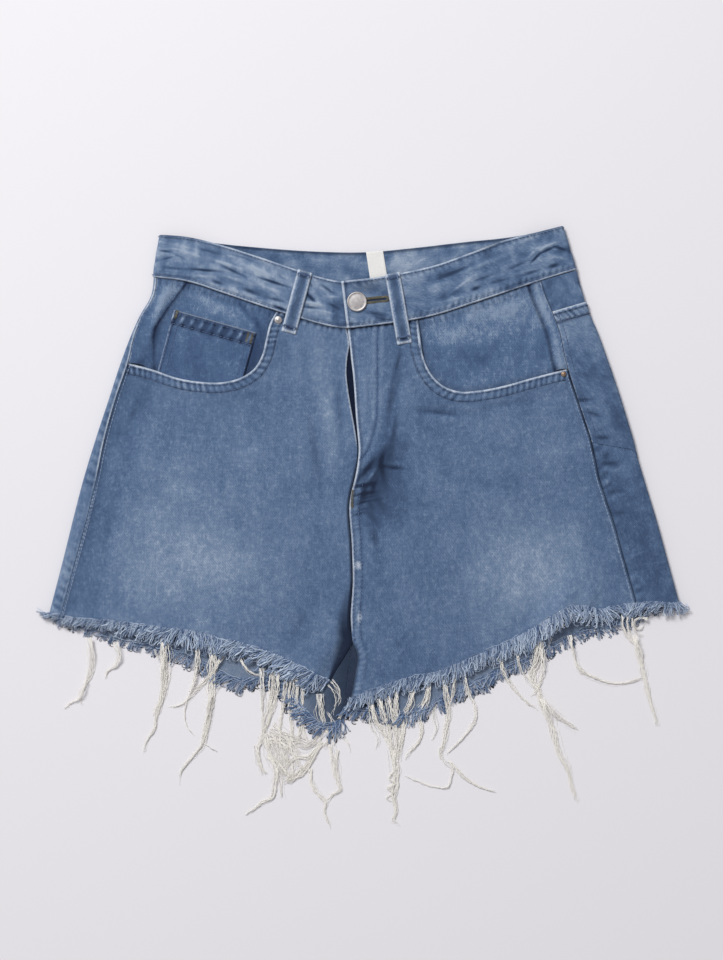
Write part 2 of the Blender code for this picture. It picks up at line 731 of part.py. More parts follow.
def cut_buttonhole(band, finish):
    """A keyhole through the upper end of the waistband, from the button's shank to its side end."""
    start, end = np.array(BUTTON_AT), np.array(BUTTONHOLE_END)
    along = (end - start) / np.linalg.norm(end - start)
    aside = np.array((-along[1], along[0]))
    outline = []
    for middle, half, turns in ((start, EYE, (16, 344)), (end, SLIT, (-90, 90))):
        for turn in np.radians(np.linspace(*turns, 9)):
            outline.append(middle + half * (np.cos(turn) * along + np.sin(turn) * aside))
    low, high = OVERLAP_TOP - BAND_CLOTH - 0.2, OVERLAP_TOP + 1
    count = len(outline)
    points = [(*point, low) for point in outline] + [(*point, high) for point in outline]
    faces = [list(range(count))[::-1], list(range(count, 2 * count))]
    faces += [[k, (k + 1) % count, (k + 1) % count + count, k + count] for k in range(count)]
    cutter = add_object("buttonhole_cutter", points, faces, finish, smooth_shading=False)
    cutter.hide_render = True
    cutter.display_type = "WIRE"
    cut = band.modifiers.new("buttonhole", "BOOLEAN")
    cut.object = cutter
    cut.solver = "EXACT"


def add_loop(name, top, foot, heights, upward, finish, thickness):
    """A belt loop: a narrow strip of folded cloth, from its top edge to its foot."""
    top, foot = np.array(top, float), np.array(foot, float)
    along = (foot - top) / np.linalg.norm(foot - top)
    aside = np.array((along[1], -along[0])) * LOOP_WIDTH / 2
    rows = []
    for share, height in heights:
        middle = mix(top, foot, share)
        rows.append([(*(middle + aside * k), height) for k in (-1, 0, 1)])
    outer = np.array(rows)
    back = -thickness if upward else thickness
    return wall(name, outer, outer + (0, 0, back), finish)


def add_loops(finish):
    front_heights = {
        # share of the length from the top, outer height
        "left": [(0, 8.6), (0.12, 8.8), (0.35, 9.4), (0.6, 9.2), (0.78, 8.6), (0.9, 8.0), (1, 7.9)],
        "right": [(0, 10.3), (0.12, 10.6), (0.35, 11.0), (0.6, 10.6), (0.74, 10.3), (0.88, 8.6), (1, 7.9)],
    }
    for side, (top, foot) in FRONT_LOOPS.items():
        add_loop(f"belt_loop_front_{side}", top, foot, front_heights[side], True, finish, LOOP_CLOTH)
    for side, x in BACK_LOOPS.items():
        top_y, foot_y = smooth(BACK_WAIST, x, 1) - 1, smooth(BACK_WAIST, x, 2) - 8
        heights = [(0, 0), (1, 0)]
        add_loop(f"belt_loop_back_{side}", (x, top_y), (x, foot_y), heights, False, finish, THIN_CLOTH)


# ---------------------------------------------------------------- fringe


PITCH = 6.2  # from one lock of threads to the next
LOCK = 2.2  # width of a lock at its root
STRIP = 2.4  # width of the frayed strip that they grow from
STRIP_HALF = 0.5  # half its thickness
FRINGE_LENGTH = {"front": 12.5, "back": 10.5}
HEM_GAP = 0.9  # between the strip and the cloth's edge
SPREAD = {-1: (-252.0, -268.0), 1: (252.0, 268.0)}  # x where the locks turn out to the side
BACK_FRINGE_TOP = 2.7  # a long thread from the front clears the back fringe at this height


def hem_edge(layer, side):
    """Points along the edge of a hem, from the inner leg to the side fold."""
    back = back_panel(side)[-1]
    floor = len(FLOOR_SHARES) + 1
    if layer == "back":
        return back[:floor] + (0, 0, STRIP_HALF + 0.4)
    front = front_panel(side, np.linspace(0, 1, FRONT_ACROSS), FRONT_DOWN)[0][-1]
    wrapped = back[:floor:-1]
    return np.concatenate([front, wrapped[:-1]]) - (0, 0, CLOTH / 2)


def fringe_line(layer, side):
    """Points just past the cloth's edge along a hem, with their outward directions in plan."""
    edge = hem_edge(layer, side)
    length = np.concatenate([[0], np.cumsum(np.hypot(*np.diff(edge[:, :2], axis=0).T))])
    count = int(length[-1] / PITCH)
    half = LOCK / PITCH / 2
    places = [0.1]
    for k in range(count):
        places += [k + 0.5 - half, k + 0.5 + half]
    places = np.array(places + [count - 0.1]) / count * length[-1]
    root = np.column_stack([np.interp(places, length, edge[:, i]) for i in range(3)])
    run = np.array([np.interp(places + 3, length, edge[:, i]) for i in range(2)])
    run = run - np.array([np.interp(places - 3, length, edge[:, i]) for i in range(2)])
    out = np.column_stack([run[1], -run[0]]) * side
    out /= np.linalg.norm(out, axis=1, keepdims=True)
    root[:, :2] += out * HEM_GAP
    start, end = SPREAD[side]
    out[:, 0] += side * 1.6 * ease((root[:, 0] - start) / (end - start))
    out /= np.linalg.norm(out, axis=1, keepdims=True)
    return root, out


def lock_path(base, out, along, length, random):
    """Middle points and sizes of a short lock of threads."""
    slant = random.uniform(0.3, 1.6)
    reach = length * random.uniform(0.82, 1.08)
    tip = base + np.append(out * reach + along * slant, 0)
    tip[2] = max(base[2] - random.uniform(0.6, 1.4), 0.62)
    return [(tip, 0.34)]


def thread_path(base, out, tip, side):
    """Middle points and sizes of a long thread, over the back fringe and down to the surface."""
    over = base + np.append(out * 9, 0.9)
    tip = np.array((*tip, 0.62))
    drop_y = min(float(smooth(HEM[side], tip[0], 2)) - 17, over[1] - 8)
    points = [(over, 0.6)]
    if tip[1] < drop_y - 12:
        share = (over[1] - drop_y) / (over[1] - tip[1])
        drop = mix(over, tip, share) + (1.5 * side, 0, 0)
        drop[2] = BACK_FRINGE_TOP
        landed = mix(drop, tip, 0.25)
        landed[2] = 0.8
        points += [(drop, 0.5), (landed, 0.45), (mix(landed, tip, 0.5) - (1.5 * side, 0, 0), 0.4)]
    else:
        tip[2] = BACK_FRINGE_TOP
    return points + [(tip, 0.3)]


def add_fringe(layer, side, finish):
    """A frayed hem: a narrow three-sided strip past the cloth's edge, with its locks drawn out."""
    name = "left" if side < 0 else "right"
    random = np.random.default_rng(7 + side + 10 * (layer == "back"))
    root, out = fringe_line(layer, side)
    long_threads = {}
    for strip, at_x, tip_x, tip_y in LONG_THREADS:
        if strip == f"{layer}_{name}":
            nearest = np.abs(root[1:-1:2, 0] - at_x).argmin()
            long_threads[1 + 2 * nearest] = (tip_x, tip_y)

    points, faces = [], []
    for place, direction in zip(root, out):
        edge = place + (*(direction * STRIP), 0)
        points += [place, edge + (0, 0, STRIP_HALF), edge - (0, 0, STRIP_HALF)]
    last = len(root) - 1
    faces += [[0, 1, 2], [3 * last, 3 * last + 2, 3 * last + 1]]
    for k in range(last):
        a, b = 3 * k, 3 * (k + 1)
        faces += [[a, b, b + 1, a + 1], [a, a + 2, b + 2, b]]
        if k % 2 == 0:
            faces.append([a + 1, b + 1, b + 2, a + 2])
            continue
        ring = [a + 1, b + 1, b + 2, a + 2]
        corners = np.array([points[i] for i in ring])
        base = corners.mean(axis=0)
        along = np.array((-out[k][1], out[k][0])) * side
        if k in long_threads:
            route = thread_path(base, out[k], long_threads[k], side)
        else:
            route = lock_path(base, out[k], along, FRINGE_LENGTH[layer], random)
        for middle, size in route:
            start = len(points)
            points += [tuple(middle + (corner - base) * size) for corner in corners]
            new = [start + i for i in range(4)]
            for i in range(4):
                j = (i + 1) % 4
                faces.append([ring[i], ring[j], new[j], new[i]])
            ring = new
        faces.append(ring)
    return add_object(f"fringe_{layer}_{name}", points, faces, finish)


# ---------------------------------------------------------------- building


def add_button(finish):
    low = UNDERLAP_TOP + LAY
    head = OVERLAP_TOP + LAY
    profile = [(0, low), (2.1, low), (2.1, head), (8.0, head), (8.6, head + 0.6), (8.6, head + 1.3)]
    profile += [(8.0, head + 1.9), (0, head + 2.0)]
    return turned("button", profile, (*BUTTON_AT, 0), finish, sides=24)


def add_rivets(finishes):
    for side, (x, y, radius, gap) in RIVETS.items():
        low = float(top_height(x, y)) + gap
        profile = [(0, low), (radius, low), (radius, low + 0.5), (radius * 0.7, low + 1.2), (0, low + 1.5)]
        turned(f"rivet_{side}", profile, (x, y, 0), finishes[side], sides=14)


def clear_scene():
    for old in list(bpy.data.objects):
        bpy.data.objects.remove(old)


def build():
    clear_scene()
    denim = material("washed_denim", "5F7693", 0.9)
    dark_denim = material("unfaded_denim", "4C6384", 0.9)
    thread = material("frayed_cotton", "B9C2CF", 0.95)
    steel = material("brushed_steel", "A09E9F", 0.35, 1.0)
    brass = material("aged_brass", "8A6A4B", 0.4, 1.0)
    label_cloth = material("woven_label", "ECEBE8", 0.8)
    zip_cloth = material("zip_tape", "29364C", 0.85)

    for side, word in ((-1, "left"), (1, "right")):
        add_front(f"front_{word}", side, denim)
        add_back(f"back_{word}", side, denim)
        add_back_pocket(f"back_pocket_{word}", side, denim)
        add_facing(f"pocket_facing_{word}", side, dark_denim)
        for layer in ("front", "back"):
            add_fringe(layer, side, thread)
    level_patch("coin_pocket", COIN_POCKET, 7, 5, FACING_TOP + LAY + THIN_CLOTH, THIN_CLOTH, dark_denim)
    level_patch("fly_shield", FLY_SHIELD, 4, 7, SHIELD_TOP, THIN_CLOTH, dark_denim)
    level_patch("zip", ZIP, 3, 7, ZIP_TOP, ZIP_CLOTH, zip_cloth)
    level_patch("neck_label", LABEL, 2, 2, LIFT + BAND_CLOTH + LAY + 0.4, 0.4, label_cloth)
    add_waistband(denim)
    add_loops(denim)
    add_button(steel)
    add_rivets({"left": steel, "right": brass})


build()
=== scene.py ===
import json

import bpy
import numpy as np
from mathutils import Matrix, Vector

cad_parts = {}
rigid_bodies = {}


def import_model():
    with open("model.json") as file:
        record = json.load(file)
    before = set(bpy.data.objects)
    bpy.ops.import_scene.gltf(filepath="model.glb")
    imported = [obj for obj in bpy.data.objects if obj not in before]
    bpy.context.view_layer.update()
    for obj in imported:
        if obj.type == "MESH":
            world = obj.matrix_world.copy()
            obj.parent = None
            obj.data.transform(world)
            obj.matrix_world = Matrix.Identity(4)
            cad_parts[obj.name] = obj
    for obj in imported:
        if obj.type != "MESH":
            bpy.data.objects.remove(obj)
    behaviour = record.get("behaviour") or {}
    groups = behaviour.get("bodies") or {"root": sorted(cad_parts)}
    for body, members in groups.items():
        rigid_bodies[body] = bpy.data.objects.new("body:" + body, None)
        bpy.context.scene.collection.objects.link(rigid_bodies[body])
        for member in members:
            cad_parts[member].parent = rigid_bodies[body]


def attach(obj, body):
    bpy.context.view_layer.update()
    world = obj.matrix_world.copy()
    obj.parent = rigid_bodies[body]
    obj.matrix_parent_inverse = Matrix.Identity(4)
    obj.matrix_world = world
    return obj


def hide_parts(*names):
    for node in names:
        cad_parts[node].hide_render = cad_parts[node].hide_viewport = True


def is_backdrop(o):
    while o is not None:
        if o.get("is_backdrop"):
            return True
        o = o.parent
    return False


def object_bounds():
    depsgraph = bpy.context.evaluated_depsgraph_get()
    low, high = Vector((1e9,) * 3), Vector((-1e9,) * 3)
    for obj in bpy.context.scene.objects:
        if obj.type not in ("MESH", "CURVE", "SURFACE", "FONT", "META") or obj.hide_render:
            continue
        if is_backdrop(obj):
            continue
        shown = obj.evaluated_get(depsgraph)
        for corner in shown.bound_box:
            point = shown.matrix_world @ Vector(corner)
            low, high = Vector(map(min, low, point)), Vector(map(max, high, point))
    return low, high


# Denim shorts laid flat on their back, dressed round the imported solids.
# +Z is up, +Y towards the waist. Left and right are as seen from above.

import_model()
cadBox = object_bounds()  # the solids' box, set beside the finished one at the end
mm = 0.001  # tables and sizes are in millimetres
bothSides = ((-1, "Left"), (1, "Right"))

# One layer of each cloth, the gaps between pieces, and the heights of the layers
cloth = {
    "denim": 1.2,
    "thin": 1.0,  # facings, patch pockets and fly shield
    "band": 2.0,
    "loop": 1.4,
    "seam": 0.35,  # gap between two pieces at a seam
    "lay": 0.3,  # gap under a piece that lies on another
    "lift": 1.4,  # the back rides this high over its pockets and loops
    "sideTop": 6.2,
    "facingTop": 4.2,
    "bandTop": 6.9,
    "underlapTop": 6.3,
    "overlapTop": 8.6,
    "shieldTop": 3.8,
    "zipTop": 4.7,
    "inseamTop": 2.9,
}

# Down the garment: y, left fold, left seam, right seam, right fold
sides = [
    (220, -178.4, -175.8, 147.5, 180.4), (196, -181.4, -178.8, 154.3, 186.8),
    (180, -190.6, -188, 161.2, 191.3), (166, -197, -194, 166.2, 197.3), (142, -206.2, -200, 171.4, 206),
    (108, -217.4, -211.4, 181.9, 217.5), (74, -228.6, -220.8, 193.1, 227.9),
    (40, -238.9, -227.8, 200.6, 238.5), (6, -247.7, -235.9, 211.7, 248.9),
    (-28, -256.1, -245.1, 221.3, 258.3), (-62, -264.9, -254.4, 230.8, 267.6),
]

# Fly edge and front rise: y, x of the edge, width of the open slit beside it
centre = [
    (170, -14.4, 0), (149, -11.7, 0.4), (140, -10.9, 3.6), (127, -9.3, 4.8), (108, -8, 3.6),
    (90, -6.8, 1.6), (62, -4.8, 0.2), (47, -6.8, 0), (22, -12.3, 0), (-13, -10.7, 0), (-47, -9.7, 0),
    (-80, -11.4, 0), (-104, -8.9, 0),
]
crotch = -99.0

# Waistband edges: x, top edge, seam edge
waist = {
    -1: [
        (-180, 249, 212.6), (-150, 246.6, 208.6), (-120, 239.4, 199), (-90, 230, 188.8),
        (-60, 219.8, 179.3), (-40, 213.4, 173.4), (-24, 209.6, 169.8), (-14, 208.6, 169), (0, 209.2, 171),
        (14, 211.5, 172.6),
    ],
    1: [
        (-20, 208.9, 168.2), (11, 212.3, 171.7), (35, 216.7, 174.9), (60, 222.5, 180), (90, 233, 189.4),
        (120, 244, 199.4), (150, 251.4, 209.5), (180, 259, 218.8),
    ],
}
backWaist = [
    (-180, 249, 212.6), (-150, 245, 207.5), (-125, 241.4, 202.5), (-86, 237.5, 197.3), (-45, 234.6, 194),
    (5, 234, 193.2), (41, 237.3, 196), (91, 243, 202), (115, 245.4, 205.5), (150, 251, 212),
    (180, 259, 218.8),
]

# Hem lines: x, front hem, back hem
hem = {
    -1: [
        (-268, -73, -76), (-244, -78.2, -84.5), (-212, -80.4, -92.5), (-179, -85.9, -101.2),
        (-147, -89.1, -111), (-121, -95.5, -124.5), (-106, -99.5, -131), (-90, -104.5, -128.5),
        (-70, -111.8, -133), (-54, -119, -152), (-34, -130, -168.5), (-17, -139, -165),
    ],
    1: [
        (-16, -148.5, -153), (14, -136.9, -156), (41, -128.4, -158), (63, -123.8, -147),
        (90, -112.4, -134), (120, -99.5, -120), (146, -85.8, -108), (160, -76.5, -101), (176, -68.7, -93),
        (186, -66.5, -88.5), (196, -71.5, -86), (207, -69.5, -86), (227, -65.5, -78), (250, -67, -70),
        (268, -63, -64),
    ],
}

# Largest folds of the upper side: x, y, half length, half width, turn in degrees, rise
largeFolds = [
    (4, 118, 50, 9, 93, 1.2),  # over the fly facing
    (16, 60, 24, 6.5, 58, 1.3),  # from the foot of the fly up to the pocket
    (16, 34, 30, 7, 62, -0.9),
    (60, 96, 24, 6, 6, -0.9),  # under the right pocket mouth
    (-52, 92, 58, 15, 97, 0.8),  # down the left front
    (-36, -108, 36, 12, 62, 1.4),  # inner edge of the left leg
    (2, -120, 30, 8, 80, 0.8),  # inner edge of the right leg
    (166, -74, 30, 13, 60, 4.6),  # hem that stands up on the right leg
    (190, -66, 16, 6, 70, 2), (126, -92, 22, 12, 70, -0.6), (240, -60, 40, 12, 75, 0.8),
    (-118, -88, 20, 24, 80, 0.7),  # slack hem on the left leg
    (-200, -80, 20, 22, 85, 0.6),
]


# A column of a table, read on a smooth curve through its rows
def readCurve(rows, at, column):
    rows = np.array(rows, float)
    rows = rows[rows[:, 0].argsort()]
    place, value = rows[:, 0], rows[:, column]
    slope = np.gradient(value, place)
    at = np.asarray(at, float)
    low = np.clip(np.searchsorted(place, at) - 1, 0, len(place) - 2)
    span = place[low + 1] - place[low]
    t = np.clip((at - place[low]) / span, 0, 1)
    start = (1 + 2 * t) * (1 - t) ** 2 * value[low] + t * (1 - t) ** 2 * span * slope[low]
    end = t * t * (3 - 2 * t) * value[low + 1] - t * t * (1 - t) * span * slope[low + 1]
    before = np.minimum(at - place[0], 0) * slope[0]
    after = above(at - place[-1]) * slope[-1]
    return start + end + before + after


def lengthAlong(points):
    steps = np.linalg.norm(np.diff(points, axis=0), axis=1)
    return np.concatenate([[0], np.cumsum(steps)])


# Points on a smooth curve through the given ones, at shares of its length
def curveThrough(points, shares):
    points = np.array(points, float)
    along = lengthAlong(points)
    table = np.column_stack([along / along[-1], points])
    return np.column_stack([readCurve(table, shares, k + 1) for k in range(points.shape[1])])


def ease(t):
    t = np.clip(t, 0, 1)
    return t * t * (3 - 2 * t)


# The part of a value above zero
def above(value):
    return np.maximum(value, 0)


# 1 up to an edge, then down to 0 over a soft width
def within(away, edge, soft):
    return 1 - ease((away - edge) / soft)


def mix(a, b, t):
    return a + (b - a) * t


# Plan points inside four edges: rows go down, columns across
def coons(top, bottom, start, end, across, down):
    u = np.array(across)[None, :, None]
    v = np.array(down)[:, None, None]
    corners = mix(mix(top[0], top[-1], u), mix(bottom[0], bottom[-1], u), v)
    return mix(start[:, None], end[:, None], u) + mix(top[None], bottom[None], v) - corners


# Distance from a plan line, and how far along it the nearest point is
def nearestOn(line, x, y):
    best = np.full(np.shape(x), 1e9)
    place = np.zeros(np.shape(x))
    walked = 0.0
    for (ax, ay), (bx, by) in zip(line, line[1:]):
        dx, dy = bx - ax, by - ay
        length = max(np.hypot(dx, dy), 1e-6)
        t = np.clip(((x - ax) * dx + (y - ay) * dy) / length**2, 0, 1)
        away = np.hypot(x - ax - t * dx, y - ay - t * dy)
        closer = away < best
        best = np.where(closer, away, best)
        place = np.where(closer, walked + t * length, place)
        walked += length
    return best, place


# Uneven from -1 to 1 along a seam, with bumps about this size
def uneven(place, size, seed):
    values = np.random.default_rng(seed).uniform(-1, 1, 512)
    place = np.asarray(place, float) / size + 64
    low = np.floor(place).astype(int)
    return mix(values[low % 512], values[(low + 1) % 512], ease(place - low))


# The same over an area
def slack(x, y, size, seed):
    values = np.random.default_rng(seed).uniform(-1, 1, (97, 89))
    u, v = x / size + 400.5, y / size + 400.5
    i, j = np.floor(u).astype(int), np.floor(v).astype(int)
    s, t = ease(u - i), ease(v - j)
    low = mix(values[i % 97, j % 89], values[(i + 1) % 97, j % 89], s)
    high = mix(values[i % 97, (j + 1) % 89], values[(i + 1) % 97, (j + 1) % 89], s)
    return mix(low, high, t)


# How far a rounded edge has dropped at this distance from it
def rolled(away, radius):
    return radius * (1 - np.sqrt(1 - np.clip(1 - away / radius, 0, 1) ** 2))


def ridge(away, at, half):
    return np.exp(-(((away - at) / half) ** 2))


# Slanting puckers of a hem band between two distances from its edge
def puckers(away, place, low, high, pitch, seed):
    wave = np.sin(2 * np.pi * (place + 0.35 * away + 1.3 * uneven(place, 9, seed)) / pitch)
    strength = 0.62 + 0.38 * uneven(place, 9, seed + 1)
    window = ease((away - low + 1.2) / 1.8) * within(away, high - 0.6, 1.8)
    return wave * strength * window


def creaseSum(rows, x, y):
    relief = np.zeros(np.broadcast(x, y).shape)
    for atX, atY, length, width, turn, rise in rows:
        angle = np.radians(turn)
        along = (x - atX) * np.cos(angle) + (y - atY) * np.sin(angle)
        aside = (y - atY) * np.cos(angle) - (x - atX) * np.sin(angle)
        relief += rise * np.exp(-((along / length) ** 2) - (aside / width) ** 2)
    return relief


def topHeight(x, y):
    return cloth["sideTop"] + creaseSum(largeFolds, x, y)


# x of the side fold and of the side seam at a height, and y of the waistband's seam edge
def foldAt(side, y):
    return readCurve(sides, y, {-1: 1, 1: 4}[side])


def seamAt(side, y):
    return readCurve(sides, y, {-1: 2, 1: 3}[side])


def jointAt(side, x):
    return readCurve(waist[side], x, 2)


# y where the side seam meets the front waistband or the front hem
def seamEnd(side, line, column, start):
    y = start
    for _ in range(8):
        y = float(readCurve(line, seamAt(side, y), column))
    return y


seamHead = {side: seamEnd(side, waist[side], 2, 210.0) - cloth["seam"] for side in (-1, 1)}
seamFoot = {side: seamEnd(side, hem[side], 1, -70.0) for side in (-1, 1)}


def seamLine(side, foot, count):
    return np.array([(seamAt(side, y), y) for y in np.linspace(seamHead[side], foot, count)])


def linear(code):
    parts = [int(code[i : i + 2], 16) / 255 for i in (0, 2, 4)]
    return (*(c / 12.92 if c <= 0.04045 else ((c + 0.055) / 1.055) ** 2.4 for c in parts), 1.0)


# Inputs of a node by name or number, as values or as sockets to link from
def give(tree, node, inputs):
    for key, value in inputs.items():
        if isinstance(value, bpy.types.NodeSocket):
            tree.links.new(value, node.inputs[key])
        else:
            node.inputs[key].default_value = value


# Adds one node with its settings and inputs, and hands back its outputs
def add(tree, kind, inputs=None, **settings):
    made = tree.nodes.new(kind)
    for name, value in settings.items():
        setattr(made, name, value)
    give(tree, made, inputs or {})
    return made.outputs


def calc(tree, operation, *values):
    return add(tree, "ShaderNodeMath", dict(enumerate(values)), operation=operation)[0]


# A value between low and high, spread from first to last and held there
def ranged(tree, value, low, high, first=0.0, last=1.0):
    return add(tree, "ShaderNodeMapRange", {0: value, 1: low, 2: high, 3: first, 4: last})[0]


# Value + weight * (pattern - 0.5)
def stir(tree, value, pattern, weight):
    return calc(tree, "MULTIPLY_ADD", calc(tree, "SUBTRACT", pattern, 0.5), weight, value)


def blendColour(tree, share, first, second):
    return add(tree, "ShaderNodeMix", {0: share, 6: first, 7: second}, data_type="RGBA")[2]


def patternAt(tree, coordinates, across, along, detail=2.0, roughness=0.55):
    scaled = add(tree, "ShaderNodeMapping", {0: coordinates, "Scale": (1 / across, 1 / along, 1 / across)})[0]
    inputs = {"Vector": scaled, "Scale": 1.0, "Detail": detail, "Roughness": roughness}
    return add(tree, "ShaderNodeTexNoise", inputs)[0]


def pointField(tree, name):
    return add(tree, "ShaderNodeAttribute", attribute_name=name)["Fac"]


def objectPlace(tree):
    return add(tree, "ShaderNodeTexCoord")["Object"]


# Thread coordinates of the cloth, in millimetres
def threadPlace(tree):
    return add(tree, "ShaderNodeUVMap", uv_map="grain")[0]


def newFinish(name):
    made = bpy.data.materials.new(name)
    made.use_nodes = True
    return made, made.node_tree


# Colour, bumps of a height, strength and distance, and the shader's other values
def dress(tree, colour, bumps, roughness, specular, others=None):
    bump = add(tree, "ShaderNodeBump", dict(zip(("Height", "Strength", "Distance"), bumps)))[0]
    values = {"Base Color": colour, "Normal": bump, "Roughness": roughness, "Specular IOR Level": specular}
    give(tree, tree.nodes["Principled BSDF"], {**values, **(others or {})})


# Stone-washed indigo twill, 12 oz: blue warp worn white at every ridge, over a paler weft.
# Sizes are in millimetres on the cloth. The real twill line is 0.7 mm and is drawn wider to show.
denimLook = {
    "cloud": 26.0,  # soft patches from the wash
    "blotch": 5.0,
    "slubWide": 1.1,  # a thicker warp yarn
    "slubLong": 9.0,
    "weftLong": 7.0,
    "speck": 1.7,  # worn tops of the yarns
    "scuff": 6.0,  # thin pale lines rubbed by the stones
    "twill": 1.25,
}


def denim(name, shades, worn, deep, contrast=1.0, sheen=0.06):
    made, tree = newFinish(name)
    grain = threadPlace(tree)
    fade, wear, dark = (pointField(tree, field) for field in ("fade", "wear", "dark"))
    look = denimLook
    cloud = patternAt(tree, grain, look["cloud"], look["cloud"], 3.0)
    blotch = patternAt(tree, grain, look["blotch"], look["blotch"] * 1.3, 3.0, 0.6)
    warp = patternAt(tree, grain, look["slubWide"], look["slubLong"], 3.0, 0.62)
    weft = patternAt(tree, grain, look["weftLong"], look["slubWide"], 2.0, 0.6)
    fine = patternAt(tree, grain, look["speck"], look["speck"] * 1.4, 2.0, 0.7)
    level = fade
    for pattern, weight in ((cloud, 0.3), (blotch, 0.34), (warp, 0.42), (weft, 0.3), (fine, 0.5)):
        level = stir(tree, level, pattern, weight * contrast)
    wander = patternAt(tree, grain, look["scuff"], look["scuff"] * 1.3, 3.0, 0.6)
    aside = calc(tree, "ABSOLUTE", calc(tree, "SUBTRACT", wander, 0.5))
    scuff = calc(tree, "MULTIPLY", ranged(tree, aside, 0.0, 0.05, 1.0, 0.0), ranged(tree, blotch, 0.4, 0.62))
    level = calc(tree, "MULTIPLY_ADD", scuff, 0.2 * contrast, level)
    turned = add(tree, "ShaderNodeMapping", {0: grain, "Rotation": (0, 0, np.radians(28))})[0]
    inputs = {"Vector": turned, "Scale": np.pi / 10 / look["twill"], "Distortion": 1.6, "Detail": 1.0}
    inputs["Detail Scale"] = 1.2
    wave = add(tree, "ShaderNodeTexWave", inputs, bands_direction="X")[1]
    level = stir(tree, level, wave, 0.16 * contrast)
    colour = add(tree, "ShaderNodeValToRGB", {0: level})[0]
    stops = colour.node.color_ramp.elements
    stops[0].position, stops[0].color = shades[0][0], linear(shades[0][1])
    stops[1].position, stops[1].color = shades[-1][0], linear(shades[-1][1])
    for position, code in shades[1:-1]:
        stops.new(position).color = linear(code)
    wornShare = ranged(tree, stir(tree, wear, fine, 0.9), 0.22, 0.95)
    tint = blendColour(tree, wornShare, colour, linear(worn))
    # The dark field blends the colour towards the deep shade. It is mostly painted shade, set on each piece
    # where grooves, valleys, gaps and covered parts lie in shadow
    deepShare = ranged(tree, stir(tree, dark, fine, 0.25), 0.08, 1.0)
    tint = blendColour(tree, deepShare, tint, linear(deep))
    relief = stir(tree, stir(tree, wave, warp, 1.2), fine, 0.9)
    dress(tree, tint, (relief, 0.55, 0.00028), 0.92, 0.15, {"Sheen Weight": sheen, "Sheen Roughness": 0.6})
    return made


washedDenim = denim(
    "stone_washed_indigo_twill",
    [(0.0, "3c506e"), (0.28, "4f6686"), (0.5, "627896"), (0.74, "788ba5"), (1.0, "9aa8bb")],
    "bcc6d4",
    "1d2940",
)
reverseDenim = denim(
    "undyed_weft_side_of_twill",
    [(0.0, "55677f"), (0.35, "6d7d95"), (0.65, "8592a5"), (1.0, "b2b9c3")],
    "c0c6ce",
    "172338",
    contrast=0.8,
    sheen=0.0,
)
unfadedDenim = denim(
    "twill_shielded_from_the_wash",
    [(0.0, "35496a"), (0.35, "455c7e"), (0.65, "566e8f"), (1.0, "8496ae")],
    "a9b6c8",
    "1b2740",
    contrast=1.1,
)


# Spun cotton yarn, frayed: light scatters through the fibres, so it is soft and bright with no gloss
def frayed(name, deep, bright, unevenness, sheen):
    made, tree = newFinish(name)
    place = objectPlace(tree)
    patch = patternAt(tree, place, 4 * mm, 4 * mm, 3.0)
    share = ranged(tree, stir(tree, pointField(tree, "tone"), patch, unevenness), 0.0, 1.0)
    colour = blendColour(tree, share, linear(deep), linear(bright))
    twist = patternAt(tree, place, 0.35 * mm, 0.8 * mm, 1.0)
    dress(tree, colour, (twist, 0.5, 0.0002), 0.95, 0.2, {"Sheen Weight": sheen, "Sheen Roughness": 0.5})
    return made


warpYarn = frayed("frayed_indigo_warp_yarn", "4e6992", "cddcee", 0.6, 0.3)
weftYarn = frayed("frayed_undyed_weft_yarn", "ecebe7", "fffbf3", 0.3, 0.6)


# Core-spun sewing thread, washed with the cloth: a slight gloss and a fine ply
def sewingThread(name, first, second):
    made, tree = newFinish(name)
    place = objectPlace(tree)
    share = ranged(tree, patternAt(tree, place, 6 * mm, 6 * mm, 3.0), 0.35, 0.65)
    colour = blendColour(tree, share, linear(first), linear(second))
    ply = patternAt(tree, place, 0.3 * mm, 0.3 * mm, 0.0)
    dress(tree, colour, (ply, 0.4, 0.0001), 0.65, 0.5)
    return made


blueThread = sewingThread("washed_blue_sewing_thread", "34466a", "566b8e")
paleThread = sewingThread("washed_pale_sewing_thread", "7388a6", "97a7bd")
oliveThread = sewingThread("olive_brown_bartack_thread", "4b4a3f", "716c5c")
bothFaces = [washedDenim, reverseDenim]

print("finishes ready")


# Unit normals of a grid, and whether its faces must be turned to follow them
def outwards(grid, upward, columns=slice(None)):
    normal = np.cross(np.gradient(grid, axis=1), np.gradient(grid, axis=0))
    normal /= np.maximum(np.linalg.norm(normal, axis=2, keepdims=True), 1e-9)
    turned = (normal[:, columns, 2].mean() > 0) != upward
    return (-normal if turned else normal), turned


def newObject(name, data):
    made = bpy.data.objects.new(name, data)
    bpy.context.scene.collection.objects.link(made)
    return made


def setField(mesh, name, values, kind="FLOAT", part="value"):
    values = np.asarray(values, np.int32 if kind == "INT" else np.float32)
    mesh.attributes.new(name, kind, "POINT").data.foreach_set(part, values.ravel())


def makeObject(name, points, faces, finishes, fields=None, grain=None, which=None, sharp=60):
    mesh = bpy.data.meshes.new(name)
    mesh.from_pydata((np.asarray(points, float) * mm).tolist(), [], faces)
    for finish in finishes:
        mesh.materials.append(finish)
    if which is not None:
        mesh.polygons.foreach_set("material_index", np.asarray(which, np.int32))
    for field, values in (fields or {}).items():
        setField(mesh, field, values)
    if grain is not None:
        layer = mesh.uv_layers.new(name="grain")
        corner = np.empty(len(mesh.loops), np.int32)
        mesh.loops.foreach_get("vertex_index", corner)
        layer.data.foreach_set("uv", np.asarray(grain, np.float32)[corner].ravel())
    mesh.shade_smooth()
    mesh.set_sharp_from_angle(angle=np.radians(sharp))
    return newObject(name, mesh)


# Every so many rows or columns, with the last one always kept
def thinned(count, every):
    return sorted({*range(0, count - 1, every), count - 1})
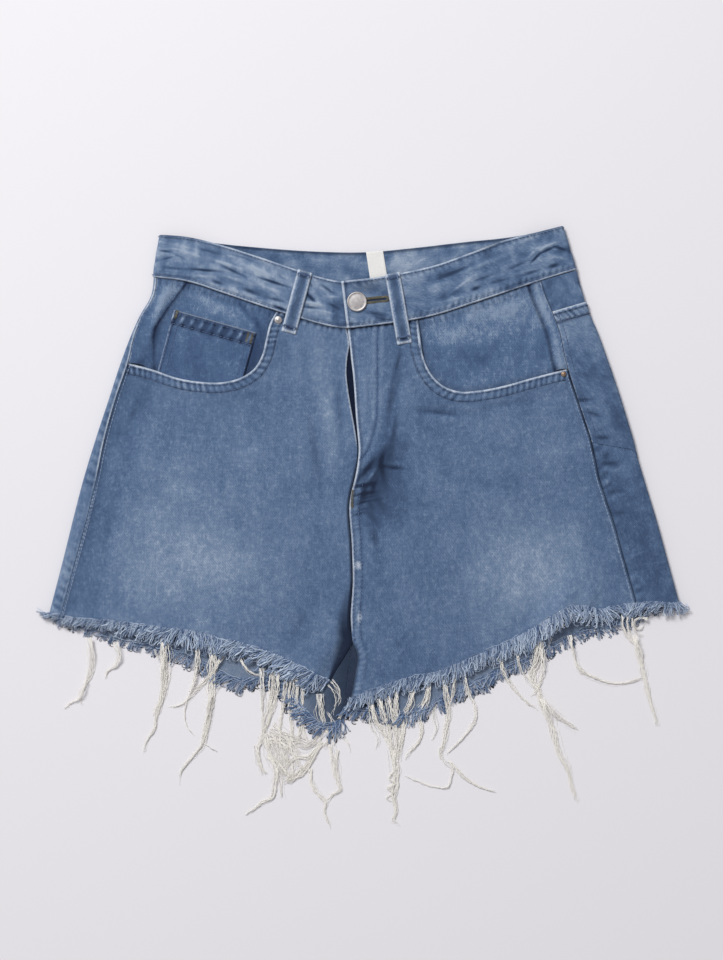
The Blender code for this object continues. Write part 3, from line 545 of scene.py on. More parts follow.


# A closed wall of cloth: a finely modelled outer side, and an inner side set back from the same
# surface. look holds the outer fade, wear and dark of each point, and inside the inner ones.
# solid holds the node that the piece replaces, then its slot and what it rests on, which are not used.
def clothWall(
    name, solid, base, relief, thick, upward, finishes, look, grain, inside=None, columns=slice(None), every=3
):
    normal, turned = outwards(base, upward, columns)
    outer = base + relief[..., None] * normal
    inner = base - thick * normal
    rows, across = outer.shape[:2]
    keepRows, keepColumns = thinned(rows, every), thinned(across, every)
    kept = np.ix_(keepRows, keepColumns)
    low = inner[kept]
    index = np.arange(rows * across).reshape(rows, across)
    under = np.arange(len(keepRows) * len(keepColumns)).reshape(low.shape[:2]) + rows * across
    top = np.stack([index[:-1, :-1], index[:-1, 1:], index[1:, 1:], index[1:, :-1]], -1).reshape(-1, 4)
    back = np.stack([under[:-1, :-1], under[1:, :-1], under[1:, 1:], under[:-1, 1:]], -1).reshape(-1, 4)
    faces = top.tolist() + back.tolist()
    r, c = np.array(keepRows), np.array(keepColumns)
    runs = [
        (index[0], under[0], c),
        (index[:, -1], under[:, -1], r),
        (index[-1, ::-1], under[-1, ::-1], across - 1 - c[::-1]),
        (index[::-1, 0], under[::-1, 0], rows - 1 - r[::-1]),
    ]
    for line, below, stops in runs:
        for a, b, p, q in zip(stops, stops[1:], below, below[1:]):
            faces.append([int(i) for i in line[a : b + 1][::-1]] + [int(p), int(q)])
    if turned:
        faces = [face[::-1] for face in faces]
    which = [0] * len(top) + [len(finishes) - 1] * len(back) + [0] * (len(faces) - len(top) - len(back))
    fields = {}
    for field in ("fade", "wear", "dark"):
        value = (inside or {}).get(field, look[field] * (0.0 if field == "wear" else 1.0))
        value = np.broadcast_to(value, outer.shape[:2])[kept]
        fields[field] = np.concatenate([np.broadcast_to(look[field], outer.shape[:2]).ravel(), value.ravel()])
    threads = np.concatenate([grain.reshape(-1, 2), grain[kept].reshape(-1, 2)])
    points = np.concatenate([outer.reshape(-1, 3), low.reshape(-1, 3)])
    piece = makeObject(name, points, faces, finishes, fields, threads, which)
    node, slot, restsOn = solid
    across, down = gridSteps(base, 1).sum(axis=1).max(), gridSteps(base, 0).sum(axis=0).max()
    declare(piece, node)
    return outer, normal


# Lengths of the steps down a grid's columns (axis 0) or along its rows (axis 1)
def gridSteps(grid, axis):
    return np.linalg.norm(np.diff(grid, axis=axis), axis=2)


# The same, added up from the first point
def gridLengths(grid, axis):
    return np.insert(gridSteps(grid, axis).cumsum(axis=axis), 0, 0, axis=axis)


def declare(piece, node=None):
    if node:
        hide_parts(node)
    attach(piece, "root")


# Where the cloth is lighter or darker than its neighbourhood: x, y, half sizes, amount
fadeSpots = [
    (-148, -24, 60, 58, 0.4),  # worn thigh, left
    (-170, 40, 50, 70, 0.02), (-60, -40, 40, 60, 0.02), (-34, 100, 26, 70, 0.14),
    (-232, 20, 16, 90, -0.15), (-200, 110, 40, 30, -0.05),
    (136, -37, 56, 40, 0.4),  # worn thigh, right
    (150, 50, 60, 60, 0.04),
    (13, 26, 18, 36, -0.36),  # beside the foot of the fly
    (20, 60, 18, 26, -0.2),
    (4, 112, 10, 60, 0.1),  # over the fly facing
    (-184, 168, 13, 34, -0.2), (-196, 60, 16, 40, -0.04), (180, 196, 16, 12, 0.14),
    (60, 96, 30, 14, -0.06), (90, 84, 60, 16, 0.04), (60, -30, 26, 60, -0.05), (20, -70, 18, 40, -0.02),
    (205, -20, 18, 60, -0.06), (30, -118, 40, 14, -0.06),
]


def fadeAt(x, y, level):
    fade = np.full(np.shape(x), float(level))
    for atX, atY, halfX, halfY, amount in fadeSpots:
        fade += amount * np.exp(-(((x - atX) / halfX) ** 2) - ((y - atY) / halfY) ** 2)
    return fade


# Tack button and its keyhole buttonhole
button = {"at": (-6.0, 191.3), "shank": 2.1, "radius": 8.6, "rise": 2.0, "rim": 0.9}
buttonhole = {"end": (19.0, 193.8), "slit": 0.7, "bank": 2.3}

# Belt loops, kept here because the cloth lies flat under them
beltLoop = {
    "width": 12.7,
    "front": {
        "left": ((-50.0, 217.4), (-64.2, 165.0)),
        "right": ((24.0, 215.5), (34.6, 155.6)),
    },
    # share of the length from the top, outer height
    "heights": {
        "left": [(0, 8.6), (0.12, 8.8), (0.35, 9.4), (0.6, 9.2), (0.78, 8.6), (0.9, 8.0), (1, 7.9)],
        "right": [(0, 10.3), (0.12, 10.6), (0.35, 11.0), (0.6, 10.6), (0.74, 10.3), (0.88, 8.6), (1, 7.9)],
    },
    "back": {"left": -92.0, "centre": 8.0, "right": 104.0},
    "needle": 4.1,  # stitch lines this far either side of the middle
}


# Cloth pressed flat where a belt loop or the button lies on it
def pressedFlat(relief, x, y):
    covered = np.hypot(x - button["at"][0], y - button["at"][1]) - 3.0
    for head, tail in beltLoop["front"].values():
        covered = np.minimum(covered, nearestOn([head, tail], x, y)[0])
    return np.minimum(relief, 0.05 + 0.9 * ease((covered - 7.2) / 2.5))


# Front panels, each with a scooped pocket mouth
frontPanel = {
    "step": 1.3,  # between points of the modelled cloth
    "across": 238,
    "down": 252,
    "level": {-1: 0.41, 1: 0.4},  # how faded the panel is
    "mouthRise": 0.8,  # the turned edge of the mouth stands this much higher
    "mouthBand": 9.4,
    "pucker": 0.5,
    "puckerPitch": 5.2,
}
mouth = {
    -1: [
        (-74.3, 183), (-79.6, 174), (-83.3, 160), (-86.8, 146), (-93.5, 134.6), (-104.5, 127.2),
        (-120, 123.2), (-138, 123.4), (-158, 126.6), (-179.4, 133.8), (-199.6, 139.4),
    ],
    1: [
        (45.9, 176.5), (47.4, 160), (50.2, 146), (56.6, 131), (67, 120.4), (80.5, 115.4), (98.6, 116.2),
        (120.2, 120.4), (141.5, 126.4), (158.6, 130.9), (172.4, 134.4),
    ],
}
frontInseam = {
    -1: [(-13.5, -105.5), (-18.0, -113.0), (-23.4, -121.5), (-29.0, -131.5)],
    1: [(-5.6, -109.5), (-7.2, -123.0), (-9.2, -135.5), (-11.6, -146.6)],
}
# Creases pressed into the upper cloth: x, y, half length, half width, turn, rise
frontCreases = {
    -1: [
        (-30, 104, 44, 5, 95, 0.45), (-21, 100, 40, 4, 93, -0.4), (-42, 66, 46, 7, 97, -0.4),
        (-58, 148, 18, 4, 100, 0.3), (-40, 146, 22, 3.5, 92, 0.35), (-31, 150, 18, 3, 90, -0.3),
        (-92, 60, 34, 9, 70, 0.3), (-140, 60, 36, 10, 12, 0.22), (-120, 8, 40, 9, -14, -0.22),
        (-70, -30, 34, 8, 82, 0.25), (-196, 96, 26, 5, 68, -0.35), (-188, 60, 34, 6, 76, 0.3),
        (-214, 10, 34, 5, 78, -0.28), (-56, -84, 26, 7, 66, -0.35),
    ],
    1: [
        (64, 97, 17, 1.9, -7, -0.6), (66, 92.6, 19, 2.8, -6, 0.42), (88, 101, 14, 3, 4, 0.3),
        (16, 60, 13, 2.6, 70, -0.6), (15.8, 50, 9, 2.4, -84, -0.75), (24, 51, 11, 1.1, -5, -0.7),
        (25, 54, 9.4, 1.3, -2, 0.35), (7, 45, 9, 1.7, 53, 0.7), (3, 49.6, 6, 1.1, 10, -0.55),
        (8, 35, 5, 1.4, -63, -0.6), (1.7, 36.2, 9, 1.1, 11, -0.55), (1, 31, 8.2, 1.2, 13, 0.5),
        (1.7, 25, 9, 1.1, 11, -0.6), (0, 20.5, 7.3, 1.2, 11, 0.45), (-1, 15, 7.7, 1.1, 8, -0.5),
        (18, 38, 10, 3.7, -81, -0.4), (5, 20, 6, 2.2, -63, -0.45), (12, -3, 10.5, 1, -62, 0.4),
        (7, -8, 8, 3, -61, -0.35), (6, 9, 8.4, 2.2, -56, -0.35), (24, 74, 10, 1.8, 79, -0.35),
        (26, 88, 9, 1.6, 84, -0.3), (29, 140, 8, 1.6, 76, -0.4), (19.5, 120, 10, 1.6, 73, 0.3),
        (1, 118, 22, 1.8, 92, 0.3), (6, 96, 18, 1.8, 95, -0.3), (26, 122, 34, 6, 80, -0.45),
        (36, 110, 30, 5, 76, 0.35), (10, -6, 26, 4, 96, -0.35), (20, 0, 30, 4.5, 98, 0.3),
        (176, 18, 9, 2.2, -30, -0.35), (150, 60, 40, 9, 14, 0.22), (110, 20, 44, 10, -18, 0.22),
        (80, -30, 36, 8, 74, -0.25), (180, -10, 34, 7, 104, 0.25), (120, 104, 22, 3, 10, -0.3),
    ],
}


def frontEdges(side):
    points = mouth[side]
    topY = jointAt(side, points[0][0]) - cloth["seam"]
    middleTop = readCurve(centre, 169.0, 1)
    waistX = np.linspace(middleTop, points[0][0], 5)
    waistLine = [(x, jointAt(side, x) - cloth["seam"]) for x in waistX]
    points = [(points[0][0], topY)] + points[1:]
    heights = np.linspace(waistLine[0][1], crotch, 22)
    edge = readCurve(centre, heights, 1) + side * cloth["seam"] / 2
    if side < 0:
        edge = edge - readCurve(centre, heights, 2) - cloth["seam"] * 0.8
    waistLine[0] = (edge[0], waistLine[0][1])
    middle = list(zip(edge, heights)) + frontInseam[side]
    seamY = np.linspace(points[-1][1], seamFoot[side], 12)
    seam = [(seamAt(side, y) - side * cloth["seam"] / 2, y) for y in seamY]
    points[-1] = seam[0]
    hemX = np.linspace(middle[-1][0], seam[-1][0], 24)
    hemLine = [(x, readCurve(hem[side], x, 1)) for x in hemX]
    hemLine[0], hemLine[-1] = middle[-1], seam[-1]
    return waistLine, points, hemLine, middle, seam


def frontPlan(side, across, down):
    waistLine, points, hemLine, middle, seam = frontEdges(side)
    waistLength = abs(waistLine[-1][0] - waistLine[0][0])
    corner = waistLength / (waistLength + lengthAlong(np.array(points))[-1])
    across = np.array(across)
    across[np.abs(across - corner).argmin()] = corner
    onWaist = curveThrough(waistLine, np.clip(across / corner, 0, 1))
    onMouth = curveThrough(points, np.clip((across - corner) / (1 - corner), 0, 1))
    top = np.where((across <= corner)[:, None], onWaist, onMouth)
    ends = curveThrough(middle, down), curveThrough(seam, down)
    return coons(top, curveThrough(hemLine, across), *ends, across, down)


# The panel's outline as plan lines of many points, to measure distances from
frontLines = {}
for side in (-1, 1):
    names = ("waist", "mouth", "hem", "middle", "seam")
    frontLines[side] = {n: curveThrough(e, np.linspace(0, 1, 80)) for n, e in zip(names, frontEdges(side))}

# Painted shade of the pinched cloth beside the foot of the fly, in colour only: x, y, half length, half
# width, turn, darkness
flyFootFoldShade = [
    (3, 50, 13, 2.3, 51, 0.9), (12, 52, 14, 2.6, 64, 0.5), (0, 30, 10, 2.4, 76, 0.7),
    (8, 34, 10, 2, 66, 0.5), (7, 45, 9, 1.5, 56, -0.5), (4, 25, 8, 1.4, 72, -0.3),
    (-1, 35.3, 9, 1.3, 8, 0.85), (0, 28.3, 10, 1.3, 9, 0.85), (0, 21.3, 10, 1.3, 10, 0.75),
    (-4, 11.4, 6, 1, 8, 0.7), (26, 50, 6, 1.1, -3, 0.75), (22, 62, 11, 3.2, 70, 0.4),
    (27, 84, 13, 2.6, 80, 0.35), (22, 104, 16, 2.2, 82, 0.3), (14, 20, 11, 3, -60, 0.3),
    (34, 66, 12, 4, 55, 0.25),
]

# Line of the fly's J-shaped stitching on the right panel
flyStitch = [(11.6, 170), (11.4, 140), (11.2, 108), (10, 88), (6.5, 74), (1.5, 63), (-5, 56)]
flyStitchLine = curveThrough(flyStitch, np.linspace(0, 1, 50))


# Height, relief, fade, wear and dark of a front panel at plan points
def frontSurface(side, x, y):
    lines = frontLines[side]
    mouthAway, mouthPlace = nearestOn(lines["mouth"], x, y)
    waistAway, waistPlace = nearestOn(lines["waist"], x, y)
    middleAway, middlePlace = nearestOn(lines["middle"], x, y)
    seamAway, seamPlace = nearestOn(lines["seam"], x, y)
    hemAway, hemPlace = nearestOn(lines["hem"], x, y)
    size = frontPanel
    turnedEdge = ease(waistAway / 14) * ease(seamAway / 12)
    base = topHeight(x, y) + size["mouthRise"] * turnedEdge * within(mouthAway, 8, 14)
    inner = ease((-64 - y) / 34)
    if side < 0:
        slope = within(middleAway, 0, 15) * inner
        base = mix(base, np.minimum(base, cloth["inseamTop"]), slope)
    else:
        base -= 2.5 * within(middleAway, 0, 5) * ease((-96 - y) / 14)

    creases = creaseSum(frontCreases[side], x, y)
    rope = puckers(mouthAway, mouthPlace, 1.6, 8.6, size["puckerPitch"], 40 + side)
    roll = rolled(mouthAway, 1.1) + rolled(middleAway, 0.9) + rolled(seamAway, 0.7) * 0.7
    relief = creases + size["pucker"] * rope - roll
    relief += 0.26 * within(mouthAway, size["mouthBand"], 1.2)
    relief = relief - 0.36 * ridge(mouthAway, 2.4, 0.6) - 0.5 * ridge(mouthAway, 8.3, 0.8)
    relief += 0.2 * slack(x, y, 34, 3) + 0.12 * slack(x, y, 13, 4) + 0.05 * slack(x, y, 5, 5)
    relief -= 0.5 * within(waistAway, 0, 3.2)
    gathers = np.sin(waistPlace / 0.9 + 2 * uneven(waistPlace, 11, 8)) * within(waistAway, 1, 6)
    relief += 0.26 * gathers
    hemFray = within(hemAway, 0, 3)
    relief = pressedFlat(relief - 0.25 * hemFray, x, y)

    # Crease, pucker and gather tops lighter and their valleys darker: partly the real wash fade, partly
    # painted light and shade
    fade = fadeAt(x, y, size["level"][side]) + 0.36 * creases + 0.05 * slack(x, y, 24, 15 + side)
    fade += 0.06 * slack(x, y * 0.4, 9, 25 + side) + 0.28 * rope + 0.14 * gathers
    fade -= 0.05 * ease((hemAway - 2) / 8)
    edgeWear = 0.75 + 0.25 * uneven(mouthPlace, 6, 60)
    wear = 0.95 * edgeWear * within(mouthAway, 1.1, 1.1) + 0.26 * above(rope)
    wear += 0.5 * hemFray * (0.6 + 0.4 * uneven(hemPlace, 4, 61))
    # Painted shade: dark lines in the two stitch grooves of the mouth band, in pucker, crease and gather
    # valleys, and a shadow under the waistband seam
    broken = 0.7 + 0.3 * uneven(mouthPlace, 2.6, 64)
    dark = broken * (0.85 * ridge(mouthAway, 8.6, 0.8) + 0.6 * ridge(mouthAway, 3.0, 0.7))
    dark += 0.36 * above(-rope)
    dark += 0.9 * above(-creases - 0.15) + 0.24 * above(-gathers)
    dark += 0.55 * within(waistAway, 0.5, 2.2) + 0.12 * within(waistAway, 0, 9)
    # Painted shade in the side seam's gap and groove, and on the left a broad soft painted shadow along the
    # seam's valley
    seamEdge = (0.75 + 0.25 * uneven(seamPlace, 12, 62)) * within(seamAway, 0.9, 1.2)
    dashes = 0.5 + 0.5 * np.sin(seamPlace * 1.9 + 1.5 * uneven(seamPlace, 9, 67))
    high = ease((y - 25) / 30)
    if side < 0:
        wear += (0.2 + 0.45 * dashes) * seamEdge * (1 - high)
        dark += 0.9 * seamEdge * high
        fade -= 0.14 * within(seamAway, 2, 12)
    else:
        wear += 0.4 * ridge(seamAway, 2.4, 0.8) * (1 - 0.6 * high)
        dark += (0.7 + 0.4 * high) * seamEdge
    dark += 0.22 * ridge(seamAway, 3.2 if side < 0 else 5.2, 1.0)
    if side > 0:
        edge = 0.9 + 0.1 * uneven(middlePlace, 9, 63)
        shown = (1 - 0.25 * ease((40 - y) / 30)) * ease((y + 96) / 14)
        wear += edge * within(middleAway, 1.0, 1.2) * shown
        # Painted shade in the groove beside the fly edge and at the foot of the rise
        dark += 0.4 * ridge(middleAway, 3.2, 1.0) * shown
        dark += 0.7 * within(middleAway, 0.5, 3) * within(y, -104, 14)
        flyAway, _ = nearestOn(flyStitchLine, x, y)
        relief = relief - 0.22 * ridge(flyAway, 0, 0.8) + 0.16 * ridge(flyAway, 3, 2.0)
        # Painted shade in the groove of the J stitching, painted light on the cloth beside it
        fade = fade - 0.22 * ridge(flyAway, 0, 1.2) + 0.16 * ridge(flyAway, 3, 2.0)
        rise = ease((44 - y) / 10)
        relief += rise * (0.3 * ridge(middleAway, 4.6, 2.6) - 0.3 * ridge(middleAway, 8.4, 0.8))
        bumpy = puckers(middleAway, middlePlace, 1.5, 7.6, 4.4, 66)
        relief += 0.16 * rise * bumpy
        # Painted light on the rise's puckers and raised band, painted shade in its outer stitch groove
        fade += rise * (0.16 * bumpy - 0.16 * ridge(middleAway, 8.6, 1.4) + 0.1 * ridge(middleAway, 5, 2.2))
        wear += 0.75 * ridge(np.hypot((x + 4) / 2.4, (y + 77) / 6), 0, 1.0)
        wear += 0.85 * ridge(np.hypot((x + 5) / 3.2, (y + 32.5) / 4), 0, 1.0)
        # Painted shade of the pinched folds beside the fly foot, with a soft dark patch round them
        folds = creaseSum(flyFootFoldShade, x, y)
        dark += 1.05 * folds + 0.34 * np.exp(-(((x - 11) / 14) ** 2) - ((y - 36) / 22) ** 2)
        fade -= 0.25 * folds
    else:
        wear += 0.75 * within(middleAway, 0.8, 1.1) * ease((y - 60) / 20)
        # Painted shade where the left panel's inner edge turns under and slopes down into the crotch
        under = ease((64 - y) / 20)
        dark += 0.85 * under * within(middleAway, 0.5, 2.4)
        relief -= 0.55 * under * within(middleAway, 0, 3)
        reach = np.interp(y, [-131, -96, -60, -45], [1, 13, 7, 2])
        depth = np.interp(y, [-131, -90, -60, -45], [0.9, 1.0, 0.5, 0.0])
        dark += depth * within(middleAway, 0.5 * reach, 0.7 * reach + 1)
    return {"base": base, "relief": relief, "fade": fade, "wear": wear, "dark": dark}


# Shares along an edge, closer together near both ends
def fineShares(count, end=0.03, closer=2.0):
    inner = np.linspace(end, 1 - end, count)
    edge = max(int(end / (inner[1] - inner[0]) * closer), 2)
    return np.concatenate([np.linspace(0, end, edge + 1)[:-1], inner, np.linspace(1 - end, 1, edge + 1)[1:]])


frontAcross = fineShares(int(frontPanel["across"] / frontPanel["step"]))
frontDown = fineShares(int(frontPanel["down"] / frontPanel["step"]), 0.05, 1.7)
frontOuter = {}
for side, word in bothSides:
    plan = frontPlan(side, frontAcross, frontDown)
    surface = frontSurface(side, plan[..., 0], plan[..., 1])
    base = np.dstack([plan, surface["base"]])
    lean = np.radians(side * 3.0)  # the grain line leans out a little with the leg
    turn = np.array([[np.cos(lean), -np.sin(lean)], [np.sin(lean), np.cos(lean)]])
    solid = (f"front_{word.lower()}", "washed_denim", [f"back_{word.lower()}"])
    title, relief = f"frontPanel{word}", surface["relief"]
    frontOuter[side], _ = clothWall(
        title, solid, base, relief, cloth["denim"], True, bothFaces, surface, plan @ turn
    )
print("front panels ready")


# Back panels, each folded round the side and on to the side seam
backPanel = {
    "across": 236,
    "floorStep": 3.4,
    "topStep": 1.5,
    "rows": 170,
    "level": {-1: 0.54, 1: 0.17},
}
backMiddle = [(8.3, 192.6), (-10.9, -99.0)]
backLeg = {
    -1: [(-12.8, -113.0), (-15.4, -138.0), (-16.8, -164.8)],
    1: [(-12.8, -115.0), (-15.2, -138.0), (-16.0, -153.2)],
}
floorShares = [0.0, 0.12, 0.25, 0.375, 0.5, 0.6, 0.7, 0.8, 0.9, 1.0]
roundShares = [0.0, 0.22, 0.45, 0.68, 0.86, 0.92, 0.96, 1.0]  # round the fold
runShares = [0.0, 0.0, 0.0, 0.0, 0.06, 0.38, 0.7, 1.0]  # from the fold in to the seam
patchPocket = {
    "top": 0.095,  # shares down the back panel
    "side": 0.5,
    "point": 0.57,
    "columns": {-1: (2, 8), 1: (4, 9)},  # first and last of floorShares
    "liftFoot": 0.58,
    "across": 56,  # points of the modelled cloth
    "down": 76,
}
# Creases of the part that shows on top: x, y, half length, half width, turn, rise
backCreases = [
    (186, 205, 12, 3, -46, -0.7), (178, 208, 14, 3, -50, 0.5), (168, 202, 12, 3, -60, 0.4),
    (197, 150, 16, 5, 110, 0.3), (186, 108, 7, 1.8, 4, -0.85), (190, 102, 6, 1.8, 4, 0.4),
    (195, 96, 6, 1.6, -18, -0.7), (199, 82, 5, 1.8, 20, -0.4), (203, 76, 6, 1.7, -4, -0.8),
    (206, 60, 5, 2.2, 60, -0.5), (209, 54, 7, 1.7, 0, -0.85), (212, 48, 6, 2, 2, 0.4),
    (214, 30, 6, 1.8, 8, -0.5), (218, 12, 6, 1.8, 4, -0.5), (216, 90, 30, 5, 112, -0.3),
    (226, 40, 34, 6, 108, 0.3), (238, -10, 34, 6, 106, -0.25),
]


def sideFoldY(side, shares):
    top = readCurve(backWaist, side * 179.2, 2) - cloth["seam"]
    bottom = readCurve(hem[side], side * 266.0, 1) - 1.5
    return mix(top, bottom, np.asarray(shares, float))


# How high the back rides over its patch pocket and over the loops under the waistband
def backLift(side, across, down):
    first, last = patchPocket["columns"][side]
    low, high = floorShares[first], floorShares[last]
    inside = ease((across - low + 0.13) / 0.12)
    if high < 1:
        inside = inside * within(across, high + 0.01, 0.09)
    overPocket = inside * within(down, patchPocket["liftFoot"] + 0.01, 0.06)
    underBand = within(down, 0.05, 0.05)
    return cloth["lift"] * np.maximum(overPocket, underBand)


def backFloor(side, across, down):
    foldY = sideFoldY(side, down)
    lift = backLift(side, 1.0, down)
    foldX = foldAt(side, foldY) - side * (cloth["sideTop"] - lift) / 2
    outer = np.column_stack([foldX, foldY])
    waistPoint, crotchPoint = (np.array(point) for point in backMiddle)
    middle = [mix(waistPoint, crotchPoint, t) + (side * 0.15, 0) for t in np.linspace(0, 1, 8)]
    inner = curveThrough(middle + backLeg[side], down)
    topX = mix(inner[0, 0], outer[0, 0], across)
    top = np.column_stack([topX, readCurve(backWaist, topX, 2) - cloth["seam"]])
    hemX = mix(inner[-1, 0], outer[-1, 0], across)
    bottom = np.column_stack([hemX, readCurve(hem[side], hemX, 2)])
    inner[0], outer[0] = top[0], top[-1]
    inner[-1], outer[-1] = bottom[0], bottom[-1]
    return coons(top, bottom, inner, outer, across, down)


# Points round the side fold and on to the seam, for shares of the turn and of the run
def sideWrap(side, down, turns, runs):
    foldY = sideFoldY(side, down)[:, None]
    foldX = foldAt(side, foldY)
    seamY = mix(seamHead[side], seamFoot[side], down)[:, None]
    seamX = seamAt(side, seamY) + side * cloth["seam"] / 2
    lift = backLift(side, 1.0, down)[:, None]
    radius = (cloth["sideTop"] - lift) / 2
    reach = np.maximum(abs(foldX - seamX), 0.02)
    half = np.pi - np.arcsin(np.clip(1 - reach / radius, 0, 1))
    angle = np.where(reach < radius, half, np.pi) * turns[None]
    inward = radius * (1 - np.sin(angle)) + above(reach - radius) * runs[None]
    x = foldX - side * inward
    y = mix(foldY, seamY, np.where(angle > np.pi / 2, np.minimum(inward / reach, 1), 0))
    height = lift + radius * (1 - np.cos(angle))
    height += (topHeight(x, y) - cloth["sideTop"]) * ease(angle / (np.pi / 2) - 1)
    return np.dstack([x, y, height])


# Whole panel: from its inner edge, under the leg and round to the side seam
def backGrid(side, across, down, steps):
    floor = backFloor(side, across, down)
    lifts = backLift(side, across[None], down[:, None])
    turns = np.interp(steps, range(8), roundShares)
    runs = np.interp(steps, range(8), runShares)
    wrap = sideWrap(side, down, turns, runs)
    return np.concatenate([np.dstack([floor, lifts]), wrap[:, 1:]], axis=1)


backDown = fineShares(backPanel["rows"], 0.03)
backFloorShares = np.linspace(0, 1, int(backPanel["across"] / backPanel["floorStep"]))
backSteps = {}
for side, reach in ((-1, 10.0), (1, 36.0)):
    runCount = int(reach / backPanel["topStep"] / 3)
    rounds = np.linspace(0, 4, 13)
    backSteps[side] = np.concatenate([rounds] + [np.linspace(k, k + 1, runCount + 3)[1:] for k in (4, 5, 6)])


def backLook(side, grid):
    x, y, z = grid[..., 0], grid[..., 1], grid[..., 2]
    onTop = ease((z - 3.4) / 1.6)
    seamAway, seamPlace = nearestOn(seamLine(side, seamFoot[side], 60), x, y)
    creases = creaseSum(backCreases, x, y) * onTop
    relief = creases - onTop * rolled(seamAway, 0.7) * 0.8
    relief += onTop * (0.14 * slack(x, y, 22, 6) + 0.1 * slack(x, y, 9, 7))
    rope = puckers(seamAway, seamPlace, 1.5, 8.0, 8.5, 70 + side)
    rope *= 0.4 + 0.6 * (uneven(seamPlace, 22, 74) > -0.2)
    relief += onTop * (0.3 * rope - 0.2 * ridge(seamAway, 8.2, 0.9))
    # Crease and pucker tops lighter, valleys darker: partly the real wash fade, partly painted light and
    # shade
    fade = fadeAt(x, y, backPanel["level"][side]) + 0.45 * creases + 0.2 * onTop * rope
    fade += 0.05 * slack(x, y, 20, 16) + 0.06 * slack(x, y * 0.4, 8, 26)
    fade += (0.12 if side > 0 else 0.05) * onTop * slack(x, y, 7, 94)
    edge = onTop * (0.8 + 0.2 * uneven(seamPlace, 8, 75))
    high = ease((y - 25) / 30)
    pale = 0.12 if side > 0 else 0.15 + 0.6 * high
    wear = pale * edge * within(seamAway, 0.9, 1.2) + 0.12 * ridge(z, 4.8, 1.2)
    # Painted shade in the side seam's gap and in pucker and crease valleys
    dark = (0.7 * edge * within(seamAway, 0.4, 1.2) if side > 0 else 0.3 * edge * ridge(seamAway, 2.6, 1.0))
    dark += 0.25 * onTop * above(-rope) + 0.8 * above(-creases - 0.1)
    if side > 0:
        below = 71.8 - 0.205 * (x - 193) - y  # level with the foot of the patch pocket
        beside = ease((z - 1.2) / 1.6) * ease((below - 0.2) / 1.2)
        relief += 0.3 * beside * np.exp(-above(below) / 9)
        # Painted light: a lighter strip under the pocket's foot that evens out the shadow line of its edge
        fade += 0.1 * beside * np.exp(-above(below) / 1.4)
    return {"relief": relief, "fade": fade, "wear": wear, "dark": dark}


# The inside of a back panel, which shows at the crotch and past the front hems. The wedge at the crotch is
# darkened as painted shade.
def backInside(grid):
    x, y = grid[..., 0], grid[..., 1]
    wedge = np.exp(-(((x + 12) / 30) ** 2)) * ease((y + 205) / 30) * ease((10 - y) / 20)
    return {"fade": 0.42 + 0.1 * slack(x, y, 16, 9) - 0.2 * wedge, "wear": 0.0, "dark": 0.12 + 0.74 * wedge}


# Arc lengths across and down a grid, as thread coordinates
def arcGrain(grid, start):
    across = gridLengths(grid, 1)
    return np.dstack([across - across[:, start : start + 1], -gridLengths(grid, 0)])


backOuter = {}
for side, word in bothSides:
    grid = backGrid(side, backFloorShares, backDown, backSteps[side])
    surface = backLook(side, grid)
    threads = arcGrain(grid, len(backFloorShares))
    solid = (f"back_{word.lower()}", "washed_denim", ["floor"])
    title, relief = f"backPanel{word}", surface["relief"]
    more = {"inside": backInside(grid), "columns": slice(0, 20), "every": 2}
    backOuter[side], _ = clothWall(
        title, solid, grid, relief, cloth["denim"], False, bothFaces, surface, threads, **more
    )
print("back panels ready")


# Patch pockets on the back, made from the panels' own points, moved out
def pocketGrid(side):
    first, last = patchPocket["columns"][side]
    shares = floorShares[first : last + 1]
    flatSteps = len(shares) - 1
    wrapSteps = 7 if side > 0 else 0
    middle = (flatSteps + wrapSteps) / 2
    flat = np.linspace(0, flatSteps, patchPocket["across"])
    steps = np.concatenate([np.linspace(0, 4, 13)] + [np.linspace(k, k + 1, 9)[1:] for k in (4, 5, 6)])
    across = np.interp(flat, range(len(shares)), shares)
    grid = backGrid(side, across, backDown, steps if side > 0 else np.array([0.0, 0.01]))
    normal, _ = outwards(grid, False, slice(0, 20))
    index = flat if side < 0 else np.concatenate([flat, flatSteps + steps[1:]])
    grid, normal = grid[:, : len(index)], normal[:, : len(index)]
    points, ways = [], []
    for share in np.linspace(0, 1, patchPocket["down"]):
        foot = mix(patchPocket["side"], patchPocket["point"], 1 - abs(index - middle) / middle)
        down = mix(patchPocket["top"], foot, share)
        points.append([[np.interp(d, backDown, grid[:, c, i]) for i in range(3)] for c, d in enumerate(down)])
        ways.append([[np.interp(d, backDown, normal[:, c, i]) for i in range(3)] for c, d in enumerate(down)])
    return np.array(points) + cloth["lift"] * np.array(ways)


